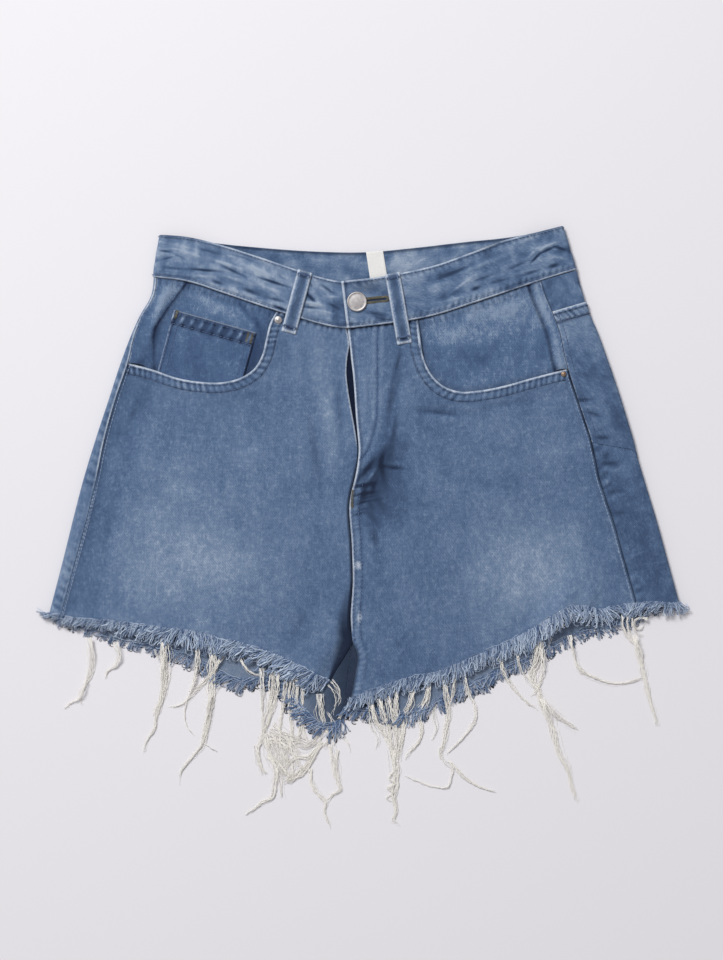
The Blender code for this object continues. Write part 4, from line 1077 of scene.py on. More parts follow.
pocketOuter = {}
for side, word in bothSides:
    grid = pocketGrid(side)
    grain = arcGrain(grid, 0)
    away = -grain[..., 1]
    place = grain[..., 0]
    rope = puckers(away, place, 1.8, 9.4, 4.8, 80)
    sideAway = place.max(axis=1, keepdims=True) - place
    footAway = away.max(axis=0, keepdims=True) - away
    relief = 0.5 * rope - rolled(away, 1.0) - rolled(sideAway, 0.6) * 0.6 - 0.4 * ridge(away, 10.4, 0.8)
    shown = ease((grid[..., 2] - 3.4) / 1.6)
    x, y = grid[..., 0], grid[..., 1]
    creases = creaseSum(backCreases, x, y) * shown
    relief = relief * shown + 0.12 * shown * slack(x, y, 18, 31) + 0.6 * creases
    sunk = ease((grid[..., 2] - 1.2) / 1.6) * within(footAway, 0, 14)
    relief = np.maximum(relief - 0.8 * sunk, -0.85)
    # Pucker and crease tops lighter, valleys darker: partly the real wash fade, partly painted light and
    # shade
    fade = 0.52 + 0.38 * rope + 0.45 * creases + 0.12 * slack(x, y, 14, 32) + 0.12 * slack(x, y, 6, 95)
    wear = 0.95 * within(away, 0.9, 1.2) + 0.4 * within(sideAway, 0.6, 1.2) + 0.25 * above(rope)
    # Painted shade in the stitch grooves of the hem band and in pucker and crease valleys
    dark = 0.6 * ridge(away, 3.2, 0.8) + 0.9 * ridge(away, 10.4, 1.3) + 0.7 * above(-rope)
    dark += 0.9 * above(-creases - 0.1)
    look = {"fade": fade - 0.26 * ease((away - 22) / 34), "wear": wear, "dark": dark}
    solid = (f"back_pocket_{word.lower()}", "washed_denim", [f"backPanel{word}"])
    title, span = f"backPocket{word}", slice(0, 20)
    pocketOuter[side], _ = clothWall(
        title, solid, grid, relief, cloth["thin"], False, bothFaces, look, grain, columns=span
    )
print("back pockets ready")


# Facings behind the front pocket mouths
pocketFacing = {"rows": 62, "columns": 96, "level": {-1: 0.5, 1: 0.62}}
facingInner = {-1: [(-63.0, 179.0), (-76.0, 122.0)], 1: [(38.0, 175.0), (46.0, 112.0)]}
facingLower = {
    -1: [(-100, 113), (-136, 110), (-162, 115), (-178, 124), (-187.5, 137.4)],
    1: [(70, 103), (98, 104), (125, 108), (148, 114), (160, 122), (164.5, 133.4)],
}
leftValley = [(205, -154.0), (186, -162.5), (166, -170.0), (138, -184.0)]
# y, x of the fold valley on the left facing, for its groove and its painted shade
leftFold = [(207, -152.0), (200, -157.4), (181, -170.9), (169, -178.0), (150, -179.6), (138, -179.4)]
facingCreases = {
    -1: [
        (-178, 176, 18, 3.5, 70, 0.5), (-186, 160, 16, 3, 72, -0.4), (-170, 196, 10, 3, 30, 0.4),
        (-150, 198, 16, 2.6, -14, 0.35), (-120, 192, 22, 2.6, -18, -0.35),
    ],
    1: [
        (82, 168, 30, 6, 40, 0.4), (110, 150, 30, 6, 35, -0.35), (120, 186, 26, 4, 18, 0.35),
        (136, 160, 30, 5, 76, -0.4), (70, 140, 20, 5, 70, 0.3), (92, 182, 12, 2.4, 60, 0.4),
        (128, 176, 16, 3, 50, -0.3), (104, 170, 12, 2.2, -30, 0.3),
    ],
}
# Painted light and shade on the facings, where they lie lit or in shadow, as rows of the same kind
facingLightAndShade = {
    -1: [
        (-124, 189, 26, 9, -18, 0.3), (-172, 194, 17, 5, 68, 0.3), (-187, 158, 16, 4, 68, 0.15),
        (-186, 141, 9, 4, 20, -0.3), (-95, 146, 26, 6, 72, -0.55), (-101, 184, 12, 2.2, -50, -0.45),
        (-91, 174, 10, 2.2, -74, -0.4),
    ],
    1: [
        (122, 180, 24, 14, 10, 0.24), (98, 143, 22, 9, -6, -0.3), (152, 154, 20, 5, 75, -0.24),
        (66, 136, 22, 8, -58, -0.25), (60, 172, 14, 10, 0, 0.08),
    ],
}


def facingHeight(side, x, y):
    if side < 0:
        lifted = ease((readCurve(leftValley, y, 1) - 3 - x) / 9)
    else:
        lifted = ease((x - seamAt(side, y) + 11) / 6)
    atWaist = within(jointAt(side, x), y, 12)
    height = mix(cloth["facingTop"] + atWaist, cloth["sideTop"], lifted)
    if side < 0:
        foldY = sideFoldY(side, [0, 1])
        lift = backLift(side, 1.0, np.clip((foldY[0] - y) / (foldY[0] - foldY[1]), 0, 1))
        radius = (cloth["sideTop"] - lift) / 2
        inward = np.clip(x - foldAt(side, y), 0, radius)
        height = np.minimum(height, lift + radius + np.sqrt(radius**2 - (radius - inward) ** 2))
    return height


def facingPlan(side, across, down):
    foot = mouth[side][-1][1] + cloth["seam"]
    seamY = mix(seamHead[side], foot, down)
    seam = np.column_stack([seamAt(side, seamY) - side * cloth["seam"] / 2, seamY])
    inner = np.array(facingInner[side])
    topX = np.linspace(inner[0][0], seam[0][0], 12)
    top = [(x, jointAt(side, x) - cloth["seam"]) for x in topX]
    inner[0] = top[0]
    lower = [tuple(inner[-1])] + facingLower[side] + [tuple(seam[-1])]
    top, lower = curveThrough(top, across), curveThrough(lower, across)
    return coons(top, lower, curveThrough(inner, down), seam, across, down)


def facingSurface(side, x, y):
    joint = np.array([(t, jointAt(side, t)) for t in np.linspace(side * 30, side * 182, 40)])
    seamAway, seamPlace = nearestOn(seamLine(side, 120, 30), x, y)
    waistAway, waistPlace = nearestOn(joint, x, y)
    mouthAway, _ = nearestOn(frontLines[side]["mouth"], x, y)
    creases = creaseSum(facingCreases[side], x, y)
    dashes = np.sin(2 * np.pi * waistPlace / 5.2 + 2 * uneven(waistPlace, 12, 90))
    relief = creases + 0.1 * slack(x, y, 14, 33) - 0.4 * within(waistAway, 0, 3) - rolled(seamAway, 0.6)
    relief += 0.28 * dashes * within(waistAway, 3, 6)
    # Painted light and shade from the table above, added to the colour; crease tops lighter and valleys
    # darker, partly real wash fade
    shades = creaseSum(facingLightAndShade[side], x, y)
    fade = fadeAt(x, y, pocketFacing["level"][side]) + 0.4 * creases + shades
    fade += 0.07 * slack(x, y, 12, 34) + 0.04 * slack(x, y, 5, 92)
    shadow = 0.32 * within(mouthAway, 1, 7) + 0.5 * within(waistAway, 0.4, 2.4)
    # Painted shade under the waistband seam, in the gathers' valleys and where the table above is dark
    dark = shadow + 0.12 * within(waistAway, 0, 10) + 0.4 * above(-dashes) * ridge(waistAway, 4.5, 2.4)
    dark += 0.6 * above(-shades - 0.1)
    wear = 0.6 * (0.7 + 0.3 * uneven(seamPlace, 9, 91)) * within(seamAway, 0.8, 1.4)
    if side > 0:
        # A valley and a ridge along the right facing, with painted shade in the valley and painted light on
        # the ridge
        relief = relief - 0.4 * ridge(seamAway, 10.5, 1.6) + 0.3 * ridge(seamAway, 6.0, 2.4)
        dark += 0.7 * ridge(seamAway, 10.8, 1.8)
        fade += 0.3 * ridge(seamAway, 5, 3.0)
    else:
        # A fold valley on the left facing: painted shade in it and to its right, painted light on the ridge
        # to its left
        valley = x - readCurve(leftFold, y, 1)
        deeper = 0.7 + 0.3 * uneven(y, 14, 93)
        relief -= 0.6 * ridge(valley, 0, 2.0) * deeper
        dark += (0.75 * ridge(valley, 0.4, 2.0) + 0.5 * (valley > 0) * within(valley, 0, 13)) * deeper
        fade += 0.16 * ridge(valley, -7, 5)
    return {"base": facingHeight(side, x, y), "relief": relief, "fade": fade, "wear": wear, "dark": dark}


for side, word in bothSides:
    across = fineShares(pocketFacing["columns"])
    down = fineShares(pocketFacing["rows"])
    plan = facingPlan(side, across, down)
    surface = facingSurface(side, plan[..., 0], plan[..., 1])
    base = np.dstack([plan, surface["base"]])
    solid = (f"pocket_facing_{word.lower()}", "unfaded_denim", [f"backPanel{word}"])
    title, relief = f"pocketFacing{word}", surface["relief"]
    clothWall(title, solid, base, relief, cloth["thin"], True, [unfadedDenim], surface, plan)
print("pocket facings ready")


# Level pieces with four corners: far and near edge, each from left to right
def flatGrid(corners, columns, rows, top):
    across, down = fineShares(columns), fineShares(rows)
    far, near = (mix(start, end, across[:, None])[None] for start, end in np.array(corners, float))
    plan = mix(far, near, down[:, None, None])
    return np.dstack([plan, np.full(plan.shape[:2], float(top))])


# Distances in from the far, near, left and right edges of a level piece
def edgeDistances(corners, grid):
    (a, b), (c, d) = [[np.array(p, float) for p in line] for line in corners]
    x, y = grid[..., 0], grid[..., 1]
    return [nearestOn([p, q], x, y) for p, q in ((a, b), (c, d), (a, c), (b, d))]


# Coin pocket on the left facing
coinPocket = {
    "corners": [[(-161.6, 185.0), (-91.0, 165.3)], [(-178.0, 124.0), (-104.0, 119.0)]],
    "hemBand": 12.0,
    "pitch": 8.6,
}
coinTop = cloth["facingTop"] + cloth["lay"] + cloth["thin"]
base = flatGrid(coinPocket["corners"], 64, 54, coinTop)
(far, farPlace), _, (left, _), (right, _) = edgeDistances(coinPocket["corners"], base)
x, y = base[..., 0], base[..., 1]
rope = puckers(far, farPlace, 1.8, coinPocket["hemBand"] - 1, coinPocket["pitch"], 100)
hemPart = within(far, coinPocket["hemBand"] - 1, 1.5)
relief = 0.45 * rope - rolled(far, 1.0) - rolled(left, 0.9) - rolled(right, 0.9) + 0.12 * slack(x, y, 16, 36)
relief = relief - 0.3 * ridge(far, coinPocket["hemBand"], 1.0) - 0.15 * ridge(far, 2.4, 0.5)
dashes = np.maximum(np.sin(2 * np.pi * farPlace / coinPocket["pitch"]), 0)
bumps = above(rope) * ridge(far, 5.4, 4.4)
# Painted shade in the stitch grooves and at the foot of the hem band, in the groove by the left edge, along
# the right edge where it casts its shadow, and between the band's puckers; the pucker tops are lighter,
# partly real rope wear, partly painted light
look = {
    "fade": fadeAt(x, y, 0.38) + 0.12 * rope + 0.14 * slack(x, y * 0.5, 8, 37) - 0.1 * hemPart + 0.5 * bumps,
    "wear": 0.8 * within(far, 0.6, 1.0) + 0.45 * within(left, 0.7, 1.1) + 0.3 * bumps,
    "dark": 0.7 * dashes * ridge(far, 3.4, 1.1)
    + 0.8 * dashes * ridge(far, coinPocket["hemBand"] - 0.6, 1.4)
    + 0.35 * ridge(far, coinPocket["hemBand"] + 0.8, 1.2)
    + 0.6 * ridge(left, 2.4, 0.8)
    + 1.1 * within(right, 0.8, 1.4) * (1 - 0.8 * hemPart)
    + 0.5 * hemPart * (1 - np.minimum(1.2 * bumps, 1)),
}
solid = ("coin_pocket", "unfaded_denim", ["pocketFacingLeft"])
clothWall("coinPocket", solid, base, relief, cloth["thin"], True, [unfadedDenim], look, base[..., :2])

# Fly shield and zip, deep in the open slit. The shield is darkened all over as painted shade.
fly = {
    "shield": [[(-27.0, 176.0), (15.0, 176.0)], [(-23.0, 26.0), (4.0, 26.0)]],
    "zip": [[(-13.5, 166.0), (10.5, 166.0)], [(-13.5, 44.0), (8.0, 44.0)]],
    "zipThick": 0.6,
}
base = flatGrid(fly["shield"], 18, 60, cloth["shieldTop"])
x, y = base[..., 0], base[..., 1]
# Painted shade of the slit over the whole shield
look = {"fade": 0.3 + 0.05 * slack(x, y, 14, 38), "wear": 0.0, "dark": 1.1}
relief = 0.1 * slack(x, y, 16, 39)
solid = ("fly_shield", "unfaded_denim", ["backPanelLeft"])
clothWall("flyShield", solid, base, relief, cloth["thin"], True, [unfadedDenim], look, base[..., :2])


# Woven polyester zip tape: a fine rib across, dark navy and slightly shiny
def wovenTape(name, shade, light, rib, roughness):
    made, tree = newFinish(name)
    grain = threadPlace(tree)
    inputs = {"Vector": grain, "Scale": np.pi / 10 / rib, "Distortion": 0.6, "Detail": 1.0}
    wave = add(tree, "ShaderNodeTexWave", inputs, bands_direction="Y")[1]
    share = stir(tree, wave, patternAt(tree, grain, 2.0, 2.0, 3.0), 0.8)
    colour = blendColour(tree, share, linear(shade), linear(light))
    dress(tree, colour, (wave, 0.5, 0.0002), roughness, 0.08)
    return made


zipTape = wovenTape("woven_polyester_zip_tape", "0c131f", "18233a", 1.0, 0.8)
labelCloth = wovenTape("white_damask_label_cloth", "d9d8d4", "f2f1ee", 0.9, 0.6)
base = flatGrid(fly["zip"], 12, 60, cloth["zipTop"])
plain = {"fade": 0.0, "wear": 0.0, "dark": 0.0}
relief = 0.12 * ridge(base[..., 0], 0, 3.0)
solid = ("zip", "zip_tape", ["flyShield"])
clothWall("zipTape", solid, base, relief, fly["zipThick"], True, [zipTape], plain, base[..., :2])

# Woven label inside the back of the waistband, left bare
label = {"corners": [[(1.7, 234.0), (16.2, 235.2)], [(6.3, 204.0), (21.0, 205.6)]], "thick": 0.4}
labelTop = cloth["lift"] + cloth["band"] + cloth["lay"] + label["thick"]
base = flatGrid(label["corners"], 22, 40, labelTop)
(far, _), (near, _), (left, _), (right, _) = edgeDistances(label["corners"], base)
x, y = base[..., 0], base[..., 1]
edge = np.minimum(np.minimum(far, near), np.minimum(left, right))
relief = 0.25 * slack(x, y, 9, 41) - 0.2 * rolled(edge, 1.0) + 0.15 * ridge(edge, 1.4, 0.6)
solid = ("neck_label", "woven_label", ["waistband"])
clothWall("neckLabel", solid, base, relief, label["thick"], True, [labelCloth], plain, base[..., :2])
print("coin pocket, fly and label ready")


# Waistband: one folded strip from its button end round both sides to its buttonhole end
waistbandSize = {
    "frontSteps": 140,
    "backSteps": 250,
    "foldSteps": 10,
    "rows": 38,
    "corners": {-1: (-174.2, -180.1), 1: (169.5, 181.0)},  # x of the side folds, top and seam edge
    "end": (-19.4, -14.5),  # x of the buttonhole end, top and seam edge
    "underlap": 13.0,
    "width": 41.0,
    "level": {-1: 0.62, 1: 0.5},
}
# x, y, half length, half width, turn, rise
bandCreases = [
    (-169, 234.4, 5.2, 0.9, -6, -0.56), (-166.7, 228.6, 5.8, 0.9, 14, -0.4),
    (-156.5, 229.9, 6.7, 0.9, -25, -0.32), (-164.9, 240.6, 10.5, 1.4, -10, 0.32),
    (-151.6, 233.5, 11.9, 1.4, -18, 0.32), (-135.5, 218.3, 14.1, 1.1, -5, -0.64),
    (-139.1, 213.4, 11.3, 1.3, -4, 0.4), (-125.2, 208.1, 5.5, 1.4, -20, -0.48),
    (-117.6, 223.7, 11.9, 1.5, -18, 0.56), (-112.7, 218.3, 10.9, 1.1, -25, -0.56),
    (-110.5, 210.7, 9.9, 1.3, -19, 0.48), (-90.9, 218.8, 12.4, 1.6, -25, 0.48),
    (-97.1, 200.5, 7.1, 1.8, -23, -0.56), (-77.5, 208.3, 12.8, 1.1, -18, -0.72),
    (-78.4, 202, 11.9, 1.5, -20, 0.4), (-74.8, 193.3, 7.7, 1.5, -14, -0.48),
    (-66.8, 213, 9.2, 1.3, -24, 0.32), (-162.3, 219.9, 9.4, 1.1, -7, -0.32),
    (-177.6, 225.5, 4.1, 1.4, 43, -0.24), (-141.9, 234.4, 6.6, 1.6, -83, 0.28),
    (-131, 234.2, 8.8, 1.1, -17, -0.28), (-101.6, 228.4, 13.8, 0.9, -19, -0.24),
    (-71.2, 185.7, 6.1, 1.4, -23, -0.64), (-109.2, 200.5, 5.1, 1.2, -34, 0.32),
    (-44.9, 194.7, 6, 1.3, -45, -0.72), (-41.8, 189.8, 8.6, 1.2, -13, 0.72),
    (-27.5, 195.6, 6.6, 1.4, -4, 0.4), (-31.1, 202.3, 8.1, 1.2, -36, -0.48),
    (-45.4, 186.7, 6.6, 1.1, -8, -0.56), (-32, 182.6, 7.7, 1.4, -14, 0.32),
    (-25.3, 187.6, 5.9, 0.9, -29, -0.48), (-41.3, 210.3, 3, 0.7, -39, 0.64),
    (-44.9, 205.8, 3.1, 0.9, -63, -0.48), (-24.8, 206.7, 4.2, 1.3, -27, 0.32),
    (10, 181.2, 10.2, 1.7, -9, -0.4), (-3.4, 173.6, 8.1, 1.7, -8, 0.32),
    (14.5, 177.3, 8.2, 1.4, -12, -0.32), (83.3, 206.3, 11.9, 1.1, 38, 0.4),
    (76.9, 216.5, 12.9, 1.7, 21, -0.48), (65.5, 206.3, 8.3, 1.7, 14, 0.32),
    (100.5, 211.4, 9.3, 1.5, 21, -0.4), (101.2, 223.3, 14.3, 1.7, 21, 0.4),
    (130.5, 222.3, 10.2, 1.3, 23, -0.4), (124.1, 212.8, 16.9, 1.4, 18, 0.32),
    (145.8, 228.6, 5.7, 1, 45, -0.72), (156, 235.4, 7.4, 1, 25, -0.72),
    (167.5, 236.7, 5.6, 1, -18, -0.72), (142.5, 231.8, 5.6, 1.1, 44, 0.56),
    (156, 239.1, 7.3, 1.1, 24, 0.56), (95.3, 202.9, 4.3, 1.7, 22, -0.64),
    (115.2, 209.5, 9.7, 1.4, 16, -0.56), (142, 216.3, 8.3, 1.3, 16, -0.48),
    (161.1, 222, 4.7, 1.8, 16, -0.64), (163.6, 229.7, 6.9, 1.4, -13, 0.32),
    (174.6, 234, 7.9, 1.7, -80, -0.28), (74.4, 193.3, 15.2, 1.8, 14, 0.4),
    (111.4, 239.9, 14.1, 1.3, 18, -0.32), (139.4, 244.7, 11.4, 1.5, 21, 0.32),
]


def bandHeight(side, x):
    if side < 0:
        return mix(cloth["bandTop"], cloth["underlapTop"], ease((x + 64) / 34))
    return mix(cloth["bandTop"], cloth["overlapTop"], ease((64 - x) / 40))


def bandEdges(line, tops, seams, height):
    columns = [tops, readCurve(line, tops, 1), seams, readCurve(line, seams, 2), height]
    return np.column_stack([np.broadcast_to(c, np.shape(tops)) for c in columns])


def waistbandGrid(rows):
    size = waistbandSize
    radius = (cloth["bandTop"] - cloth["lift"]) / 2
    left, right = size["corners"][-1], size["corners"][1]
    shares = np.linspace(0, 1, size["frontSteps"])
    turns = np.linspace(0, np.pi, size["foldSteps"] + 2)[1:-1]
    parts = []
    ends = [mix(size["underlap"], corner + radius, shares) for corner in left]
    parts.append(bandEdges(waist[-1], *ends, bandHeight(-1, ends[1])))
    bend, middle, rise = radius * (1 - np.sin(turns)), cloth["lift"] + radius, radius * np.cos(turns)
    parts.append(bandEdges(waist[-1], left[0] + bend, left[1] + bend, middle + rise))
    across = np.linspace(0, 1, size["backSteps"])
    ends = [mix(a + radius, b - radius, across) for a, b in zip(left, right)]
    parts.append(bandEdges(backWaist, *ends, cloth["lift"]))
    parts.append(bandEdges(waist[1], right[0] - bend, right[1] - bend, middle - rise))
    ends = [mix(corner - radius, end, shares) for corner, end in zip(right, size["end"])]
    parts.append(bandEdges(waist[1], *ends, bandHeight(1, ends[1])))
    edges = np.concatenate(parts)
    plan = mix(edges[None, :, :2], edges[None, :, 2:4], np.array(rows)[:, None, None])
    return np.dstack([plan, np.broadcast_to(edges[None, :, 4], plan.shape[:2])])


bandRows = fineShares(waistbandSize["rows"], 0.06)
base = waistbandGrid(bandRows)
firstBack = waistbandSize["frontSteps"] + waistbandSize["foldSteps"]
backSpan = slice(firstBack, firstBack + waistbandSize["backSteps"])
grain = arcGrain(base, 0)
place = np.broadcast_to(grain[len(base) // 2, :, 0], base.shape[:2])
down = np.array(bandRows)[:, None] * waistbandSize["width"]
top, foot = (np.broadcast_to(away, base.shape[:2]) for away in (down, waistbandSize["width"] - down))
x, y = base[..., 0], base[..., 1]
front = np.ones(base.shape[:2])
front[:, backSpan] = 0.0
endAway = place.max() - place
creases = creaseSum(bandCreases, x, y) * front
ripple = 0.26 * slack(place * 0.5 + down * 0.8, down - place * 0.25, 9, 43)
ripple += 0.16 * slack(place, down * 0.8, 5, 44)
rope = puckers(foot, place, 1.4, 6.5, 5.4, 110) + 0.7 * puckers(top, place, 1.4, 5.5, 5.6, 112)
relief = 1.15 * creases + ripple + 0.14 * rope - rolled(top, 1.0) - rolled(foot, 0.8) - rolled(endAway, 0.9)
relief = relief - 0.24 * ridge(top, 2.9, 0.7) - 0.34 * ridge(foot, 3.2, 0.8) - 0.24 * ridge(endAway, 3.2, 0.8)
slitAway, _ = nearestOn([(1.0, 192.0), (18.0, 193.7)], x, y)
relief = pressedFlat(relief, x, y) - 0.7 * ridge(slitAway, 0, 1.0) * (endAway < 60)
relief = np.where((place < 60) & (x > -24), np.minimum(relief, 0.05), relief)
relief = np.where(front > 0, relief, np.minimum(0.25 * relief, 0.0))
level = np.where(x < -17, waistbandSize["level"][-1], waistbandSize["level"][1])
level = np.where(place < 40, 0.44, level) - 0.1 * ease((x - 70) / 40)
# Crease, ripple and pucker tops lighter and their valleys darker: partly the real wash fade, partly painted
# light and shade
fade = level + 0.95 * creases + ripple + 0.14 * slack(place, down, 16, 45)
fade += np.where(x < -17, 0.08, 0.2) * rope
edgeWear = 0.72 + 0.28 * uneven(place, 7, 113)
atSides = ease((abs(x) - 130) / 14)
wear = 0.85 * edgeWear * ((1 - 0.8 * atSides) * within(top, 1.0, 1.1) + within(foot, 1.1, 0.9))
wear += 0.9 * within(endAway, 1.2, 1.2) + 0.15 * above(creases)
# Painted shade in the stitch grooves, in crease, ripple and pucker valleys, by the end, and along the top
# edge where the band turns round the sides
dark = 0.42 * ridge(foot, 3.2, 0.8) + 0.36 * ridge(top, 2.9, 0.8) + 1.5 * above(-creases - 0.05) * front
dark += (0.9 * above(-ripple - 0.1) + np.where(x < -17, 0.08, 0.35) * above(-rope)) * front
dark += 0.4 * ridge(endAway, 3.4, 1.0) + 0.5 * atSides * within(top, 0.8, 1.0)
# Painted shade: the buttonhole's slit, a dark line over a shallow groove
dark += 1.1 * ridge(slitAway, 0, 1.1) * (endAway < 60)
shade = 0.5 * np.exp(-(((x - 4) / 16) ** 2) - ((y - 204) / 6) ** 2) * front
look = {"fade": fade, "wear": wear, "dark": dark + shade}
inside = {
    "fade": 0.52 + 1.1 * ripple + 0.22 * slack(place - down, down * 0.8, 12, 46),
    "wear": 0.2 * ridge(top, 3.4, 0.8),
    "dark": 0.1 + 0.75 * ridge(top, 1.2, 1.1) + 0.35 * ease((down - 24) / 12),
}
solid = ("waistband", "washed_denim", ["backPanelLeft", "backPanelRight"])
more = {"inside": inside, "columns": backSpan, "every": 2}
bandOuter, bandNormal = clothWall(
    "waistbandCloth", solid, base, relief, cloth["band"], False, [washedDenim], look, grain[..., ::-1], **more
)
print("waistband ready")


# Belt loops
loopGrids = {}
for word, (head, tail) in beltLoop["front"].items():
    head, tail = np.array(head), np.array(tail)
    length = np.linalg.norm(tail - head)
    along = (tail - head) / length
    aside = np.array((along[1], -along[0]))
    offsets = fineShares(15, 0.08) * beltLoop["width"] - beltLoop["width"] / 2
    shares = fineShares(54)
    height = readCurve(beltLoop["heights"][word], shares, 1)
    plan = head + along * length * shares[:, None, None] + aside * offsets[None, :, None]
    base = np.dstack([plan, np.broadcast_to(height[:, None], plan.shape[:2])])
    out = np.broadcast_to(abs(offsets)[None], plan.shape[:2])
    edge = beltLoop["width"] / 2 - out
    fromTop = np.broadcast_to((shares * length)[:, None], plan.shape[:2])
    fromFoot = length - fromTop
    bumps = uneven(fromTop, 5, 120 + len(word)) * 0.12
    needle = beltLoop["needle"]
    relief = 0.3 * ridge(out, needle, 1.6) - 0.2 * ridge(out, needle, 0.5) - rolled(edge, 1.0)
    relief = relief + bumps - rolled(fromTop, 0.9) - rolled(fromFoot, 0.9) - 0.3 * ridge(fromFoot, 5.5, 0.8)
    wear = 0.8 * within(edge, 1.0, 1.4) + 0.85 * within(fromFoot, 1.8, 1.4) + 0.5 * within(fromTop, 1, 1.5)
    # Painted shade in bands near both ends, by the foot's groove; the loop is also darker down its middle
    look = {
        "fade": 0.3 + 0.14 * slack(plan[..., 0], plan[..., 1], 7, 47) + 0.45 * ridge(out, needle + 0.6, 1.4),
        "wear": wear + 0.4 * bumps,
        "dark": 0.4 * ridge(out, 0, 3.0) + 0.8 * ridge(fromFoot, 4.6, 1.1) + 0.45 * ridge(fromTop, 5, 1.2),
    }
    grain = np.dstack([np.broadcast_to(offsets[None], plan.shape[:2]), -fromTop])
    title = f"beltLoopFront{word.capitalize()}"
    solid = (f"belt_loop_front_{word}", "washed_denim", ["waistbandCloth"])
    loopGrids[word], _ = clothWall(
        title, solid, base, relief, cloth["loop"], True, [washedDenim], look, grain, every=2
    )
for word, atX in beltLoop["back"].items():
    topY, footY = readCurve(backWaist, atX, 1) - 1, readCurve(backWaist, atX, 2) - 8
    half = beltLoop["width"] / 2
    corners = [[(atX - half, topY), (atX + half, topY)], [(atX - half, footY), (atX + half, footY)]]
    base = flatGrid(corners, 12, 40, 0.0)
    x, y = base[..., 0], base[..., 1]
    out = abs(x - atX)
    wear, dark = 0.6 * within(half - out, 0.8, 1.4), 0.2 * ridge(out, 1.6, 1.2)
    look = {"fade": 0.44 + 0.1 * slack(x, y, 8, 48), "wear": wear, "dark": dark}
    title = f"beltLoopBack{word.capitalize()}"
    relief = -0.12 * ridge(out, beltLoop["needle"], 0.6)
    solid = (f"belt_loop_back_{word}", "washed_denim", ["waistbandCloth"])
    clothWall(title, solid, base, relief, cloth["thin"], False, [washedDenim], look, base[..., :2])
print("belt loops ready")


# Rows of stitches: one short fat capsule of thread at each step along a path
stitching = {
    "pitch": 3.1,  # eight stitches to the inch
    "length": 2.5,
    "thread": 0.36,  # half of the thread's thickness, drawn a little coarse
    "uneven": 0.1,
    # distances of the rows from their edge
    "mouth": (2.2, 8.2),
    "side": 2.2,
    "rise": (1.9, 7.8),
    "fly": 2.2,
    "band": 2.4,
    "pocket": (3.0, 10.2),
}


def geometryTree(name, sockets):
    tree = bpy.data.node_groups.new(name, "GeometryNodeTree")
    tree.interface.new_socket("Geometry", in_out="INPUT", socket_type="NodeSocketGeometry")
    for title, kind in sockets.items():
        tree.interface.new_socket(title, in_out="INPUT", socket_type=f"NodeSocket{kind}")
    tree.interface.new_socket("Geometry", in_out="OUTPUT", socket_type="NodeSocketGeometry")
    tree.is_modifier = True
    return tree


def finishTree(tree, geometry, finish):
    real = add(tree, "GeometryNodeRealizeInstances", {"Geometry": geometry})[0]
    dressed = add(tree, "GeometryNodeSetMaterial", {"Geometry": real, "Material": finish})[0]
    add(tree, "NodeGroupOutput", {"Geometry": dressed})


# Path edges -> points a pitch apart -> capsules laid along the path or turned across it
def makeStitchTree():
    sockets = dict.fromkeys(("Pitch", "Stitch Length", "Thread Radius", "Turn", "Unevenness"), "Float")
    tree = geometryTree("stitchesAlongPath", {**sockets, "Thread": "Material"})
    given = add(tree, "NodeGroupInput")
    curve = add(tree, "GeometryNodeMeshToCurve", {"Mesh": given["Geometry"]})[0]
    inputs = {"Curve": curve, "Length": given["Pitch"]}
    steps = add(tree, "GeometryNodeResampleCurve", inputs, mode="LENGTH")[0]
    inputs = {"Vector": add(tree, "GeometryNodeInputTangent")[0], "Axis": (0, 0, 1), "Angle": given["Turn"]}
    turned = add(tree, "ShaderNodeVectorRotate", inputs)[0]
    aim = add(tree, "FunctionNodeAlignRotationToVector", {"Vector": turned}, axis="Z")[0]
    ball = add(tree, "GeometryNodeMeshUVSphere", {"Segments": 6, "Rings": 5, "Radius": 1.0})[0]
    radius, halfLength = given["Thread Radius"], calc(tree, "MULTIPLY", given["Stitch Length"], 0.5)
    size = add(tree, "ShaderNodeCombineXYZ", {0: radius, 1: radius, 2: halfLength})[0]
    capsule = add(tree, "GeometryNodeTransform", {"Geometry": ball, "Scale": size})[0]
    least, most = (calc(tree, way, 1.0, given["Unevenness"]) for way in ("SUBTRACT", "ADD"))
    vary = add(tree, "FunctionNodeRandomValue", {2: least, 3: most, "Seed": 5}, data_type="FLOAT")[1]
    inputs = {"Points": steps, "Instance": capsule, "Rotation": aim, "Scale": vary}
    laid = add(tree, "GeometryNodeInstanceOnPoints", inputs)[0]
    finishTree(tree, laid, given["Thread"])
    return tree


# Runs a tree on a mesh of points or edges and keeps the result as a plain mesh
def runTree(name, tree, mesh, values, finish):
    source = newObject(f"{name}Path", mesh)
    modifier = source.modifiers.new("build", "NODES")
    modifier.node_group = tree
    for item in tree.interface.items_tree:
        if item.item_type == "SOCKET" and item.in_out == "INPUT" and item.name in values:
            modifier[item.identifier] = values[item.name]
    graph = bpy.context.evaluated_depsgraph_get()
    result = bpy.data.meshes.new_from_object(source.evaluated_get(graph))
    result.name = name
    result.materials.clear()
    result.materials.append(finish)
    result.shade_smooth()
    bpy.data.objects.remove(source)
    return newObject(name, result)


def pathMesh(name, lines, **fields):
    points, edges = [], []
    for line in lines:
        start = len(points)
        points += (np.asarray(line, float) * mm).tolist()
        edges += [(start + k, start + k + 1) for k in range(len(line) - 1)]
    mesh = bpy.data.meshes.new(f"{name}Lines")
    mesh.from_pydata(points, edges, [])
    for field, values in fields.items():
        setField(mesh, field, np.concatenate(values))
    return mesh


stitchTree = makeStitchTree()


